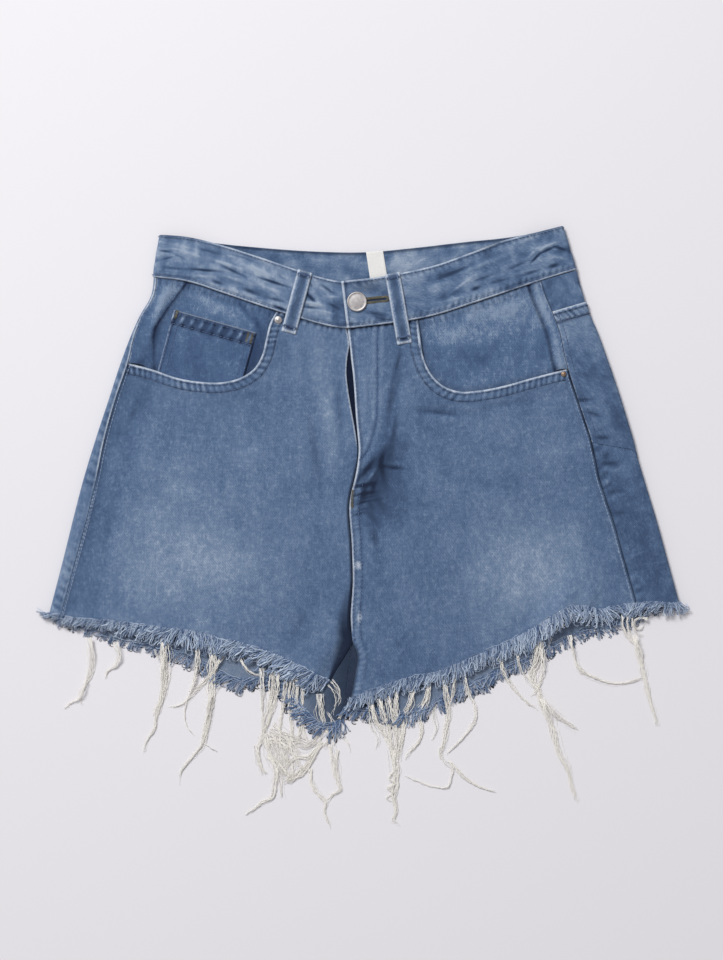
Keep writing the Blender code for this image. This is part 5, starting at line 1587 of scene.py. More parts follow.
def sewRows(name, lines, thread, pitch=None, length=None, radius=None, turn=0.0):
    values = {
        "Pitch": (pitch or stitching["pitch"]) * mm,
        "Stitch Length": (length or stitching["length"]) * mm,
        "Thread Radius": (radius or stitching["thread"]) * mm,
        "Turn": turn,
        "Unevenness": stitching["uneven"],
        "Thread": thread,
    }
    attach(runTree(name, stitchTree, pathMesh(name, lines), values, thread), "root")


# Unit ways out to one side of a plan line
def sideways(line):
    run = np.gradient(line, axis=0)
    run /= np.linalg.norm(run, axis=1, keepdims=True)
    return np.column_stack([-run[:, 1], run[:, 0]])


def besides(line, away):
    return line + away * sideways(line)


def onFront(side, plan, lift=None):
    surface = frontSurface(side, plan[:, 0], plan[:, 1])
    lift = stitching["thread"] * 0.4 if lift is None else lift
    return np.column_stack([plan, surface["base"] + surface["relief"] + lift])


# A line across a modelled grid at a distance down from its first row
def alongGrid(grid, normal, distance, columns, lift):
    drop = gridLengths(grid, 0)
    points = []
    for c in range(*columns.indices(grid.shape[1])):
        at = distance if distance >= 0 else drop[-1, c] + distance
        point = [np.interp(at, drop[:, c], grid[:, c, i]) for i in range(3)]
        way = [np.interp(at, drop[:, c], normal[:, c, i]) for i in range(3)]
        points.append(np.array(point) + lift * np.array(way))
    return np.array(points)


mouthRows, palerRows, frontRows = [], [], []
for side in (-1, 1):
    for away in stitching["mouth"]:
        mouthRows.append(onFront(side, besides(frontLines[side]["mouth"], -side * away)[2:-2]))
    palerRows.append(onFront(side, besides(frontLines[side]["seam"], -side * stitching["side"])[1:-1]))
middle = frontLines[1]["middle"]
risePart = middle[(middle[:, 1] < 42) & (middle[:, 1] > -97)]
flyPart = middle[middle[:, 1] > 60]
for away in stitching["rise"]:
    frontRows.append(onFront(1, besides(risePart, away)))
frontRows.append(onFront(1, besides(flyPart, stitching["fly"])))
frontRows.append(onFront(1, flyStitchLine[1:-1]))
sewRows("pocketMouthStitches", mouthRows, blueThread)
sewRows("sideSeamStitches", palerRows, paleThread)
sewRows("flyAndRiseStitches", frontRows, blueThread)

endColumn = bandOuter.shape[1] - 3
shown = [slice(2, waistbandSize["frontSteps"] + 4), slice(backSpan.stop + 4, endColumn)]
bandLines = []
for away in (stitching["band"], -stitching["band"]):
    bandLines += [alongGrid(bandOuter, bandNormal, away, span, 0.15) for span in shown]
bandLines.append(bandOuter[3:-3, endColumn] + 0.15 * bandNormal[3:-3, endColumn])
sewRows("waistbandStitches", bandLines, blueThread)

coinLines = []
(farLeft, farRight), (nearLeft, nearRight) = [[np.array(p) for p in line] for line in coinPocket["corners"]]
for away in (2.4, coinPocket["hemBand"] - 0.6):
    step = (nearLeft - farLeft) / np.linalg.norm(nearLeft - farLeft) * away
    coinLines.append(np.linspace(farLeft + step, farRight + step, 24)[1:-1])
for a, b, inward in ((farLeft, nearLeft, 1), (farRight, nearRight, -1)):
    line = np.linspace(a, b, 20)
    for away in (1.8, 6.4):
        coinLines.append(besides(line, inward * away)[1:])
coinLines = [np.column_stack([line, np.full(len(line), coinTop + 0.1)]) for line in coinLines]
sewRows("coinPocketStitches", coinLines, blueThread)

grid = pocketOuter[1]
normal, _ = outwards(grid, False, slice(0, 20))
span = slice(62, grid.shape[1] - 1)
pocketLines = [alongGrid(grid, normal, away, span, 0.12) for away in stitching["pocket"]]
pocketLines.append(grid[3:-2, -5] + 0.12 * normal[3:-2, -5])
sewRows("backPocketStitches", pocketLines, blueThread)

loopLines = [grid[2:-2, column] + (0, 0, 0.12) for grid in loopGrids.values() for column in (4, -5)]
sewRows("beltLoopStitches", loopLines, paleThread, length=2.2)


# Bartacks: dense zigzag stitches over a short line, at the height given
def tack(start, end, height):
    return np.array([(*mix(np.array(start), np.array(end), t), height) for t in np.linspace(0, 1, 6)])


bartack = {"pitch": 0.62, "radius": 0.3, "turn": np.pi / 2}
coinTacks = [
    ((-94.6, 164.4), (-96.6, 156.5)),
    ((-98.0, 165.4), (-100.0, 157.5)),
    ((-158.5, 184.0), (-160.6, 177.4)),
]
tacks = [tack(start, end, coinTop + 0.2) for start, end in coinTacks]
tacks.append(onFront(1, np.array([(-9.2, 31.5), (-9.8, 26), (-10.2, 20.5), (-10.0, 16.5)]), 0.25))
loopTacks = [grid[row, 2:-2] + (0, 0, 0.15) for grid in loopGrids.values() for row in (5, len(grid) - 8)]
sewRows("bartacks", tacks, oliveThread, length=2.6, **bartack)
sewRows("beltLoopTacks", loopTacks, blueThread, length=2.2, **bartack)
print("stitching ready")


# Brushed steel, plated and tumbled: fine scratches in all directions give a soft wide gloss
def plated(name, tone, worn, roughness, scratch):
    made, tree = newFinish(name)
    place = objectPlace(tree)
    share = ranged(tree, patternAt(tree, place, 3 * mm, 3 * mm, 4.0), 0.38, 0.66)
    colour = blendColour(tree, share, linear(tone), linear(worn))
    lines = patternAt(tree, place, scratch * mm, 3 * mm, 3.0)
    rough = ranged(tree, lines, 0.3, 0.7, roughness - 0.1, roughness + 0.14)
    dress(tree, colour, (lines, 0.3, 0.00005), rough, 0.5, {"Metallic": 1.0})
    return made


brushedSteel = plated("brushed_nickel_plated_steel", "aaa7a8", "c2bdbb", 0.5, 0.12)
agedBrass = plated("aged_copper_brass", "8f7868", "a8937f", 0.55, 0.2)


# A round piece turned from a profile of radius and height, closed on its axis at both ends
def turnedPiece(name, profile, middle, finish, count):
    x, y, z = middle
    points, faces = [(x, y, z + profile[0][1])], []
    angles = np.linspace(0, 2 * np.pi, count, endpoint=False)
    for radius, height in profile[1:-1]:
        points += [(x + radius * np.cos(a), y + radius * np.sin(a), z + height) for a in angles]
    points.append((x, y, z + profile[-1][1]))
    last, rings = len(points) - 1, len(profile) - 2
    for k in range(count):
        after = (k + 1) % count
        faces.append([0, 1 + after, 1 + k])
        for ring in range(rings - 1):
            low, high = 1 + ring * count, 1 + (ring + 1) * count
            faces.append([low + k, low + after, high + after, high + k])
        high = 1 + (rings - 1) * count
        faces.append([high + k, high + after, last])
    return makeObject(name, points, faces, [finish], sharp=40)


# Tack button: shank, flat face with a narrow rolled rim and a slightly domed middle
low = cloth["underlapTop"] + cloth["lay"]
head = cloth["overlapTop"] + cloth["lay"]
outer, rim = button["radius"], button["rim"]
profile = [(0, low), (button["shank"], low), (button["shank"], head), (outer - 0.9, head)]
for inset, rise in ((0.25, 0.25), (0, 0.8), (0.1, 1.3), (0.45, 1.75)):
    profile.append((outer - inset, head + rise))
for inset, rise in ((0, 1.85), (0.5, 1.7), (0.9, 1.62)):
    profile.append((outer - rim - inset, head + rise))
for share in (0.85, 0.7, 0.5, 0.3, 0.15):
    profile.append(((outer - rim - 1) * share, head + 1.62 + 0.36 * (1 - share**2)))
profile.append((0, head + button["rise"] - 0.01))
declare(turnedPiece("tackButton", profile, (*button["at"], 0), brushedSteel, 72), "button")

# Rivets at the pocket mouths: shares of the radius and heights, then x, y, radius, gap under it
rivetProfile = [(0, 0), (1, 0), (1, 0.3), (0.96, 0.545), (0.86, 0.79), (0.74, 0.93)]
rivetProfile += [(0.6, 0.92), (0.5, 1.05), (0.3, 1.35), (0, 1.5)]
rivets = {"left": (-72.9, 176.0, 3.4, 1.1), "right": (169.6, 130.0, 2.3, 0.9)}
for word, finish, slot in (("left", brushedSteel, "steel"), ("right", agedBrass, "brass")):
    x, y, radius, gap = rivets[word]
    low = float(topHeight(x, y)) + gap
    profile = [(radius * share, low + rise) for share, rise in rivetProfile]
    piece = turnedPiece(f"rivet{word.capitalize()}", profile, (x, y, 0), finish, 40)
    declare(piece, f"rivet_{word}")

# Keyhole buttonhole: two banks of olive satin stitches; its dark slit is painted shade on the waistband
start, end = np.array(button["at"]), np.array(buttonhole["end"])
along = (end - start) / np.linalg.norm(end - start)
aside = np.array((-along[1], along[0]))
reach = buttonhole["slit"] + buttonhole["bank"] / 2
banks = [np.linspace(start + along * 7, end, 16) + aside * way * reach for way in (-1, 1)]
angles = np.linspace(-1.57, 1.57, 9)[:, None]
banks.append(end + reach * (np.cos(angles) * along + np.sin(angles) * aside))
banks = [np.column_stack([line, np.full(len(line), cloth["overlapTop"] + 0.1)]) for line in banks]
length = buttonhole["bank"] + 0.3
sewRows("buttonholeStitches", banks, oliveThread, pitch=0.5, length=length, radius=0.32, turn=np.pi / 2)
print("button, rivets and buttonhole ready")


# Frayed hems: locks of blue warp yarns left at the cut edge, and the white weft yarns that hang on
fringe = {
    "pitch": 1.9,
    # past the edge, rise, share of the length
    "rows": {"front": ((-1.3, 1.0, 0.84), (-0.4, 0.3, 0.96)), "back": ((-1.6, 0.1, 1.0),)},
    "yarns": 4,
    "lockWidth": 3.6,
    "lockLength": 16.0,
    "yarn": 0.5,  # half of a yarn's thickness
    "kinds": 14,
    "spread": {-1: (-252.0, -268.0), 1: (252.0, 268.0)},  # x where the locks turn out to the side
    "lowest": 0.12,
    "backRise": 0.9,
    # The back locks lie under the front ones and are darkened as painted shade
    "backPaintedShade": (0.7, -0.12),  # the back locks are darker: times, then plus
}
# x, length of the front locks, of the back locks, slant in degrees
fringeLength = {
    -1: [
        (-268, 11, 9, -30), (-225, 12, 10, -32), (-190, 15, 12, -30), (-158, 20, 14, -28),
        (-146, 20, 14, 2), (-128, 19, 14, 16), (-112, 19, 15, -30), (-60, 20, 16, -34),
        (-36, 19, 17, -20), (-14, 16, 17, 0),
    ],
    1: [
        (-16, 13, 15, -34), (40, 15, 15, -30), (110, 16, 14, -30), (146, 18, 13, -24), (176, 15, 12, 0),
        (190, 17, 12, 24), (216, 15, 11, 24), (226, 14, 10, -20), (268, 13, 9, -42),
    ],
}


# Edges -> tapered yarns of the thickness given at each point, none below the surface
def makeYarnTree():
    tree = geometryTree("yarnsAlongPaths", {"Sides": "Int", "Lowest": "Float", "Yarn": "Material"})
    given = add(tree, "NodeGroupInput")
    curve = add(tree, "GeometryNodeMeshToCurve", {"Mesh": given["Geometry"]})[0]
    thick = namedValue(tree, "thick", "FLOAT")
    ring = add(tree, "GeometryNodeCurvePrimitiveCircle", {"Resolution": given["Sides"], "Radius": 1.0})[0]
    inputs = {"Curve": curve, "Profile Curve": ring, "Scale": thick, "Fill Caps": True}
    tube = add(tree, "GeometryNodeCurveToMesh", inputs)[0]
    finishTree(tree, keptAbove(tree, tube, given["Lowest"]), given["Yarn"])
    return tree


def namedValue(tree, name, kind):
    return add(tree, "GeometryNodeInputNamedAttribute", {"Name": name}, data_type=kind)[0]


def keptAbove(tree, geometry, lowest):
    place = add(tree, "ShaderNodeSeparateXYZ", {0: add(tree, "GeometryNodeInputPosition")[0]})
    height = calc(tree, "MAXIMUM", place[2], lowest)
    raised = add(tree, "ShaderNodeCombineXYZ", {0: place[0], 1: place[1], 2: height})[0]
    return add(tree, "GeometryNodeSetPosition", {"Geometry": geometry, "Position": raised})[0]


# Points with a turn, a size and a choice -> one lock on each
def makeFringeTree():
    tree = geometryTree("locksAlongHem", {"Locks": "Collection", "Lowest": "Float", "Yarn": "Material"})
    given = add(tree, "NodeGroupInput")
    inputs = {"Collection": given["Locks"], "Separate Children": True, "Reset Children": True}
    locks = add(tree, "GeometryNodeCollectionInfo", inputs, transform_space="ORIGINAL")[0]
    aim = add(tree, "FunctionNodeEulerToRotation", {0: namedValue(tree, "turn", "FLOAT_VECTOR")})[0]
    inputs = {
        "Points": given["Geometry"],
        "Instance": locks,
        "Pick Instance": True,
        "Instance Index": namedValue(tree, "pick", "INT"),
        "Rotation": aim,
        "Scale": namedValue(tree, "size", "FLOAT"),
    }
    laid = add(tree, "GeometryNodeInstanceOnPoints", inputs)[0]
    real = add(tree, "GeometryNodeRealizeInstances", {"Geometry": laid})[0]
    finishTree(tree, keptAbove(tree, real, given["Lowest"]), given["Yarn"])
    return tree


# Yarns of one lock, laid along +Y: each one waves, arches up and curls under at its tip
def lockLines(random):
    lines = []
    for k in range(fringe["yarns"]):
        across = ((k + 0.5) / fringe["yarns"] - 0.5) * fringe["lockWidth"] + random.uniform(-0.3, 0.3)
        curl = random.uniform(0.8, 2.4)
        reach = fringe["lockLength"] * random.uniform(0.62, 1.04) - curl
        t = np.linspace(0, 1, 8)
        wave = random.uniform(0.2, 0.8) * np.sin(random.uniform(0, 6.3) + random.uniform(5, 9) * t)
        aside = across * (1 - 0.4 * t) + random.normal(0, 2.0) * t**1.5 + wave
        run = np.column_stack([aside, reach * t, random.uniform(0.3, 1.1) * np.sin(2.0 * t)])
        turn = np.linspace(0, np.radians(random.uniform(100, 220)), 6)[1:]
        under = curl * (1 - np.cos(turn))
        tip = run[-1] + np.column_stack([random.normal(0, 0.5) * under, curl * np.sin(turn), -0.8 * under])
        lines.append(np.concatenate([run, tip]))
    return lines


yarnTree = makeYarnTree()
fringeTree = makeFringeTree()
lockGroup = bpy.data.collections.new("fringeLocks")
for kind in range(fringe["kinds"]):
    random = np.random.default_rng(200 + kind)
    lines = lockLines(random)
    taper, paler = np.linspace(1.1, 0.75, len(lines[0])), np.linspace(-0.1, 0.35, len(lines[0]))
    thick = [fringe["yarn"] * mm * random.uniform(0.8, 1.15) * taper for _ in lines]
    tones = [random.uniform(-0.05, 0.8) + paler for _ in lines]
    mesh = pathMesh("lock", lines, thick=thick, tone=tones)
    values = {"Sides": 3, "Lowest": -1.0, "Yarn": warpYarn}
    lock = runTree(f"lock{kind:02d}", yarnTree, mesh, values, warpYarn)
    bpy.context.scene.collection.objects.unlink(lock)
    lockGroup.objects.link(lock)


# Edge of a hem in space, from the inner leg to the side fold
def hemEdge(layer, side):
    backEdge = backOuter[side][-1]
    floorCount = len(backFloorShares)
    if layer == "back":
        return backEdge[:floorCount] + (0, 0, fringe["backRise"])
    wrapped = backEdge[floorCount + 3 :][::-1]
    return np.concatenate([frontOuter[side][-1], wrapped]) - (0, 0, cloth["denim"] / 2)


# Places along a hem and the way out of it, past the edge by so much
def hemPlaces(layer, side, spacing, past):
    edge = hemEdge(layer, side)
    length = lengthAlong(edge[:, :2])
    count = int(length[-1] / spacing)
    places = (np.arange(count) + 0.5) / count * length[-1]
    root = np.column_stack([np.interp(places, length, edge[:, i]) for i in range(3)])
    ahead, behind = [[np.interp(places + step, length, edge[:, i]) for i in (0, 1)] for step in (3, -3)]
    run = np.array(ahead) - np.array(behind)
    out = np.column_stack([run[1], -run[0]]) * side
    out /= np.linalg.norm(out, axis=1, keepdims=True)
    root[:, :2] += out * np.broadcast_to(past, count)[:, None]
    start, end = fringe["spread"][side]
    out[:, 0] += side * 1.6 * ease((root[:, 0] - start) / (end - start))
    out /= np.linalg.norm(out, axis=1, keepdims=True)
    return root, out


# Short pieces of weft that work loose along a hem, over the roots of the locks
def looseWefts(layer, side, random):
    lines, thick, tones = [], [], []
    for past in (-1.4, -0.2, 1.2, 2.8):
        root, out = hemPlaces(layer, side, 1.6, past)
        first = int(random.integers(0, 8))
        while first < len(root) - 6:
            last = min(first + int(random.integers(8, 24)), len(root))
            line, place = root[first:last].copy(), np.arange(last - first)
            away = 0.8 * uneven(place, 2.5, random.integers(1000)) + 0.6 * random.uniform(-1, 1)
            line[:, :2] += out[first:last] * away[:, None]
            line[:, 2] += 0.9 + 0.35 * uneven(place, 2.0, random.integers(1000))
            lines.append(line)
            thick.append(np.full(len(line), random.uniform(0.2, 0.34) * mm))
            tones.append(np.full(len(line), random.uniform(0.2, 1.0)))
            first = last + int(random.integers(2, 12))
    return lines, thick, tones


# Bundles of long weft yarns at each hem: points on the way, strands, width, tone
longThreads = {
    ("front", -1): [
        ([(-234, -94), (-232, -112), (-233, -123), (-238, -136), (-242, -147), (-241, -152)], 7, 4.5, 0.9),
        ([(-236, -130), (-242, -145), (-250, -150), (-256, -155)], 3, 2, 0.8),
        ([(-212, -98), (-209, -110), (-213, -119), (-219, -124), (-219, -130)], 5, 4, 0.85),
        ([(-171, -94), (-170, -113), (-170, -134), (-174, -151), (-178, -162)], 12, 7, 0.95),
        ([(-171, -110), (-173, -148), (-177, -162), (-178, -171), (-185, -182), (-188, -194)], 6, 3, 0.85),
        ([(-178, -104), (-175, -113)], 2, 1.5, 0.8),
        ([(-141, -100), (-142, -118), (-145, -134), (-148, -142)], 7, 4, 0.95),
        ([(-142, -118), (-145, -134), (-151, -148), (-153, -158), (-151, -170), (-144, -178)], 2, 1.2, 0.75),
        ([(-121, -108), (-126, -120), (-132, -128), (-139, -135), (-148, -145),
            (-155, -151), (-168, -154)], 5, 3, 0.95),
        ([(-129, -104), (-130, -122), (-130, -142), (-133, -164), (-136, -177), (-138, -185)], 11, 7, 0.95),
        ([(-131, -142), (-135, -172), (-138, -185), (-145, -194), (-152, -202),
            (-157, -211), (-157, -220)], 6, 2.6, 0.75),
        ([(-137, -184), (-131, -188), (-125, -191)], 1, 1, 0.8),
        ([(-105, -112), (-97, -123), (-90, -126), (-84, -126), (-75, -118)], 4, 2.2, 1.1),
        ([(-86, -120), (-86, -148), (-86, -170), (-84, -186)], 5, 4.5, 0.55),
        ([(-78, -118), (-80, -146), (-82, -160), (-86, -178), (-90, -190), (-87, -212)], 7, 4.5, 0.9),
        ([(-74, -120), (-75, -142), (-79, -158), (-84, -170), (-88, -174)], 7, 4.5, 0.95),
        ([(-65, -118), (-68, -146), (-71, -166), (-72, -180)], 6, 3.6, 0.98),
        ([(-59, -122), (-63, -146), (-63, -160), (-61, -172), (-62, -184)], 6, 4, 1.0),
        ([(-56, -124), (-58, -146), (-56, -160), (-54, -170), (-58, -186)], 6, 4, 0.98),
        ([(-51, -126), (-52, -150), (-53, -162), (-51, -176), (-46, -186)], 5, 3, 1.0),
        ([(-84, -184), (-78, -182), (-72, -188), (-68, -196), (-73, -206), (-75, -220)], 6, 8, 1.0),
        ([(-72, -180), (-66, -188), (-60, -196), (-66, -202), (-73, -210)], 6, 9, 0.95),
        ([(-92, -186), (-90, -200), (-84, -212)], 5, 5, 0.85),
        ([(-80, -172), (-70, -178), (-58, -182), (-48, -186), (-40, -180), (-36, -172)], 8, 10, 1.0),
        ([(-84, -176), (-80, -190), (-72, -204), (-62, -212), (-52, -206),
            (-44, -196), (-38, -184)], 9, 7, 1.0),
        ([(-76, -176), (-70, -190), (-64, -204)], 6, 9, 1.0),
        ([(-66, -178), (-60, -192), (-56, -206)], 6, 9, 1.0),
        ([(-82, -194), (-78, -200), (-75, -207), (-76, -219), (-78, -230),
            (-88, -235), (-96, -242), (-103, -246)], 7, 3.4, 0.85),
        ([(-71, -198), (-72, -207), (-71, -217), (-70, -232)], 4, 4, 0.8),
        ([(-36, -183), (-42, -190), (-48, -196), (-56, -196), (-63, -200), (-67, -207)], 6, 3.4, 1.1),
        ([(-36, -183), (-41, -192), (-47, -203), (-54, -212), (-63, -215), (-69, -218)], 6, 3, 1.05),
        ([(-61, -201), (-61, -211), (-64, -216), (-56, -212), (-52, -202)], 4, 4, 1.0),
        ([(-46, -206), (-44, -219), (-39, -228), (-33, -235), (-34, -242),
            (-31, -251), (-27, -257)], 6, 3.4, 0.85),
        ([(-22, -190), (-24, -206), (-21, -219), (-20, -224), (-26, -228), (-32, -234)], 6, 4, 0.9),
        ([(-29, -186), (-26, -202), (-25, -214)], 4, 4, 0.9),
        ([(-38, -142), (-37, -160), (-34, -171), (-30, -180), (-33, -186), (-28, -190)], 7, 6, 0.8),
        ([(-33, -154), (-28, -162), (-25, -169), (-19, -177), (-14, -183), (-11, -192)], 3, 3, 0.9),
    ],
    ("back", -1): [
        ([(-30, -134), (-25, -140), (-22, -148), (-26, -156), (-29, -164)], 3, 6, 0.1),
        ([(-27, -130), (-22, -136), (-21, -146), (-24, -152)], 3, 5, 0.0),
        ([(-24, -166), (-24, -176), (-27, -188)], 3, 5, 0.8),
    ],
    ("front", 1): [
        ([(-10, -153), (-17, -158), (-22, -165)], 5, 3.5, 0.85),
        ([(5, -148), (10, -166), (17, -175), (21, -184), (25, -196)], 9, 5, 1.0),
        ([(13, -146), (16, -158), (20, -170), (23, -184), (26, -196)], 8, 5, 0.97),
        ([(20, -144), (23, -158), (27, -172), (28, -186), (27, -198)], 8, 5, 1.0),
        ([(27, -140), (28, -158), (32, -172), (31, -186), (28, -200)], 7, 5, 0.95),
        ([(42, -136), (40, -150), (35, -160), (33, -176), (30, -190)], 7, 5, 0.95),
        ([(54, -130), (52, -148), (46, -158), (49, -172), (47, -182), (38, -192), (34, -198)], 7, 3.6, 0.98),
        ([(56, -132), (54, -150), (47, -164)], 3, 2, 0.95),
        ([(25, -190), (26, -202), (27, -214), (25, -228), (27, -243), (25, -250), (29, -256)], 9, 5.5, 0.92),
        ([(29, -204), (22, -215), (27, -218), (20, -223), (26, -226), (19, -231), (25, -236)], 3, 1.5, 0.9),
        ([(68, -128), (71, -144), (72, -158), (70, -172), (68, -184),
            (65, -194), (70, -201), (76, -205)], 7, 4.6, 0.9),
        ([(77, -126), (76, -142), (73, -152)], 5, 3, 1.0),
        ([(76, -204), (74, -214), (71, -221), (60, -221), (44, -216), (34, -212)], 3, 1.6, 0.75),
        ([(72, -200), (79, -207), (86, -214), (97, -221), (112, -226)], 4, 2, 0.8),
        ([(85, -122), (88, -140), (94, -152), (95, -162), (90, -172), (82, -182), (70, -194)], 4, 2.6, 0.8),
        ([(115, -108), (119, -124), (126, -136), (134, -145), (142, -152), (148, -156)], 5, 4, 0.9),
        ([(130, -104), (134, -122), (141, -132)], 3, 3, 0.9),
        ([(150, -96), (148, -112), (144, -128), (149, -140), (151, -150), (158, -162)], 12, 7, 1.0),
        ([(152, -104), (152, -124), (148, -138), (142, -145)], 4, 3, 1.05),
        ([(150, -146), (158, -166), (163, -182), (168, -196), (173, -206),
            (177, -222), (182, -236)], 9, 5, 0.9),
        ([(153, -148), (163, -158), (172, -166), (183, -174)], 5, 6, 0.8),
        ([(180, -70), (176, -78), (168, -86), (161, -92), (158, -100), (151, -112)], 3, 1.4, 1.4),
        ([(175, -92), (178, -108), (184, -121), (196, -128), (212, -133),
            (226, -132), (238, -128)], 5, 2.8, 0.9),
        ([(221, -72), (220, -83), (225, -94), (233, -102), (236, -112)], 4, 2, 0.95),
        ([(225, -73), (224, -84), (228, -94), (236, -100)], 4, 2, 1.0),
        ([(229, -76), (229, -85), (233, -91), (238, -92)], 3, 1.6, 0.8),
        ([(241, -78), (235, -77), (230, -80), (231, -86), (236, -87), (238, -82)], 4, 1.8, 0.9),
        ([(230, -92), (235, -112), (239, -130), (243, -146), (247, -158), (251, -170)], 10, 5, 0.95),
    ],
    ("back", 1): [
        ([(60, -150), (60, -162), (62, -172), (58, -182)], 3, 3, 0.7),
        ([(4, -156), (6, -168), (12, -180), (10, -190)], 3, 4, 0.8),
    ],
}
strandSize = {
    "step": 1.7,
    "thick": (0.2, 0.36),
    "hair": 0.13,  # half thickness of the fine strands, a third as many again
    "spread": (1.25, 2.1),  # times the width, for strands and for fine ones
    "more": 1.5,  # strands for each one in the table
    "height": {"front": 4.6, "back": 1.6, "low": 0.8},  # at the root, low for roots on the surface
    "crimp": 0.5,
    "crimpPitch": 6.0,
}


# One strand of a bundle: crosses its neighbours, closes up half way and lies down on the surface
def strand(route, width, random, startHeight):
    reach = random.uniform(0.84, 1.0)
    count = max(int(lengthAlong(np.array(route, float))[-1] * reach / strandSize["step"]), 8)
    shares = np.linspace(0, reach, count)
    middle = curveThrough(route, shares)
    walked = lengthAlong(middle)
    wide = width * (0.55 + 0.45 * within(shares, 0.45, 0.3) + 0.25 * ease((shares - 0.85) / 0.15))
    place = mix(random.uniform(-0.5, 0.5), 0.62 * uneven(walked, 16, random.integers(1000)), 0.65) * wide
    pitch = strandSize["crimpPitch"] * random.uniform(0.8, 1.4)
    crimp = strandSize["crimp"] * np.sin(2 * np.pi * walked / pitch + random.uniform(0, 6.3))
    crimp *= 0.6 + 0.4 * uneven(walked, 11, random.integers(1000))
    height = 0.4 + (startHeight - 0.4) * within(walked, 5, 24)
    height += 0.5 * (1 + uneven(walked, 9, random.integers(1000))) * ease(walked / 12)
    return np.column_stack([middle + (place + crimp)[:, None] * sideways(middle), height])


def bundleStrands(layer, side, random):
    lines, thick, tones = [], [], []
    for route, count, width, tone in longThreads[layer, side]:
        startHeight = strandSize["height"][layer]
        if route[0][1] <= -150:
            startHeight = strandSize["height"]["low"]
        count = round(count * strandSize["more"])
        for k in range(count + count // 3):
            hair = k >= count
            line = strand(route, width * strandSize["spread"][hair], random, startHeight)
            size = strandSize["hair"] if hair else random.uniform(*strandSize["thick"])
            lines.append(line)
            thick.append(size * mm * np.linspace(1.05, 0.6, len(line)))
            tones.append(np.full(len(line), tone + random.uniform(-0.1, 0.2)))
    return lines, thick, tones


for layer in ("front", "back"):
    for side, word in bothSides:
        random = np.random.default_rng(300 + side + 10 * (layer == "back"))
        spots, turns, sizes, picks = [], [], [], []
        column = 1 if layer == "front" else 2
        for past, rise, share in fringe["rows"][layer]:
            root, out = hemPlaces(layer, side, fringe["pitch"], past)
            table, x = fringeLength[side], root[:, 0]
            length = readCurve(table, x, column) * share
            slant = np.radians(readCurve(table, x, 3)) + 0.34 * uneven(x, 7, 310 + side)
            for place, way, reach, lean in zip(root, out, length, slant):
                spots.append(place + (0, 0, rise + random.uniform(-0.15, 0.15)))
                turn = np.arctan2(way[1], way[0]) - np.pi / 2 + random.normal(lean, 0.26)
                turns.append((random.normal(-0.05, 0.05), random.uniform(-0.3, 0.3), turn))
                sizes.append(reach / fringe["lockLength"] * random.uniform(0.82, 1.1))
                picks.append(int(random.integers(0, fringe["kinds"])))
        mesh = bpy.data.meshes.new("lockPoints")
        mesh.from_pydata([tuple(p * mm) for p in np.array(spots)], [], [])
        setField(mesh, "turn", turns, "FLOAT_VECTOR", "vector")
        setField(mesh, "size", sizes)
        setField(mesh, "pick", picks, "INT")
        values = {"Locks": lockGroup, "Lowest": fringe["lowest"] * mm, "Yarn": warpYarn}
        piece = runTree(f"fringe{layer.capitalize()}{word}", fringeTree, mesh, values, warpYarn)
        # Painted shade: the back locks, under the front ones, are made darker
        if layer == "back":
            tone = piece.data.attributes["tone"].data
            shades = np.empty(len(tone), np.float32)
            tone.foreach_get("value", shades)
            tone.foreach_set("value", shades * fringe["backPaintedShade"][0] + fringe["backPaintedShade"][1])
        declare(piece, f"fringe_{layer}_{word.lower()}")
        for title, made, finish in (
            ("looseWefts", looseWefts(layer, side, random), warpYarn),
            ("longThreads", bundleStrands(layer, side, random), weftYarn),
        ):
            lines, thick, tones = made
            mesh = pathMesh(title, lines, thick=thick, tone=tones)
            values = {"Sides": 3, "Lowest": fringe["lowest"] * mm, "Yarn": finish}
            piece = runTree(f"{title}{layer.capitalize()}{word}", yarnTree, mesh, values, finish)
            declare(piece)
for lock in list(lockGroup.objects):
    bpy.data.objects.remove(lock)
bpy.data.collections.remove(lockGroup)
print("fringe ready")


# Floor, light and camera
studio = {
    "floor": "e9e7ea",
    "floorSize": 6.0,
    "sky": 0.47,
    "skyTint": "f1f0f4",
    "lamp": {"at": (-1.32, 2.0, 2.83), "size": 1.1, "power": 104.0, "aim": (0.0, 0.05, 0.0)},
}


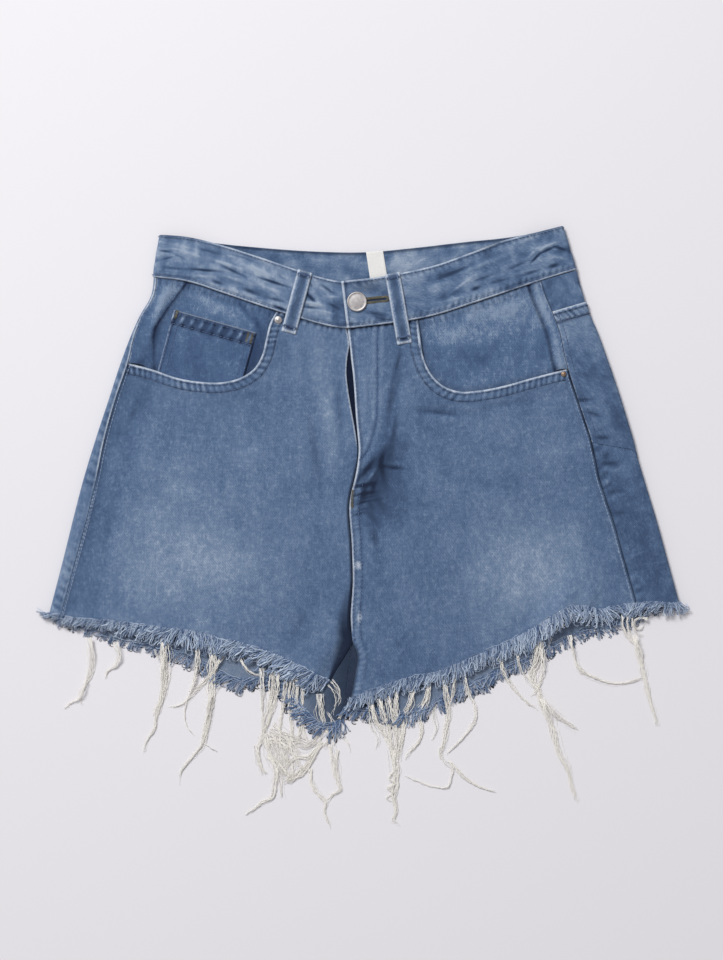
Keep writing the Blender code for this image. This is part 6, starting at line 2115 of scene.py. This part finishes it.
# Sheet of matt board: even, with the faintest unevenness
def matteBoard(name, shade):
    made, tree = newFinish(name)
    place = objectPlace(tree)
    tone = [linear(shade)[k] * 0.985 for k in range(3)] + [1.0]
    colour = blendColour(tree, patternAt(tree, place, 0.35, 0.35, 2.0), tone, linear(shade))
    fibre = patternAt(tree, place, 1.5 * mm, 1.5 * mm, 3.0)
    dress(tree, colour, (fibre, 0.06, 0.0002), 0.9, 0.2)
    return made


half = studio["floorSize"] / 2 / mm
corners = [(-half, -half, -0.4), (half, -half, -0.4), (half, half, -0.4), (-half, half, -0.4)]
floor = makeObject("floor", corners, [[0, 1, 2, 3]], [matteBoard("matt_white_board", studio["floor"])])
floor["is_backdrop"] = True

scene = bpy.context.scene
world = bpy.data.worlds.new("studio")
world.use_nodes = True
background = world.node_tree.nodes["Background"]
background.inputs["Color"].default_value = linear(studio["skyTint"])
background.inputs["Strength"].default_value = studio["sky"]
scene.world = world

lamp = bpy.data.lights.new("softBox", "AREA")
lamp.shape = "SQUARE"
lamp.size = studio["lamp"]["size"]
lamp.energy = studio["lamp"]["power"]
lampObject = bpy.data.objects.new("softBox", lamp)
scene.collection.objects.link(lampObject)
lampObject.location = studio["lamp"]["at"]
aim = np.array(studio["lamp"]["aim"]) - np.array(studio["lamp"]["at"])
lampObject.rotation_mode = "QUATERNION"
lampObject.rotation_quaternion = Vector(aim).to_track_quat("-Z", "Y")

# Straight down on the middle of the view; the sensor lies along its longer side
camera = {"over": (-2.1, 40.0), "height": 2006.0, "takesIn": 816.0, "clothAt": 6.0, "sensor": 36.0}
lens = bpy.data.cameras.new("camera")
lens.sensor_width = camera["sensor"]
lens.lens = camera["sensor"] * (camera["height"] - camera["clothAt"]) / camera["takesIn"]
cameraObject = bpy.data.objects.new("camera", lens)
scene.collection.objects.link(cameraObject)
cameraObject.location = (camera["over"][0] * mm, camera["over"][1] * mm, camera["height"] * mm)
scene.camera = cameraObject
scene.view_settings.view_transform = "Standard"
print("floor, light and camera ready")

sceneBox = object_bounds()
sizes = {"cad": [list(corner) for corner in cadBox], "scene": [list(corner) for corner in sceneBox]}
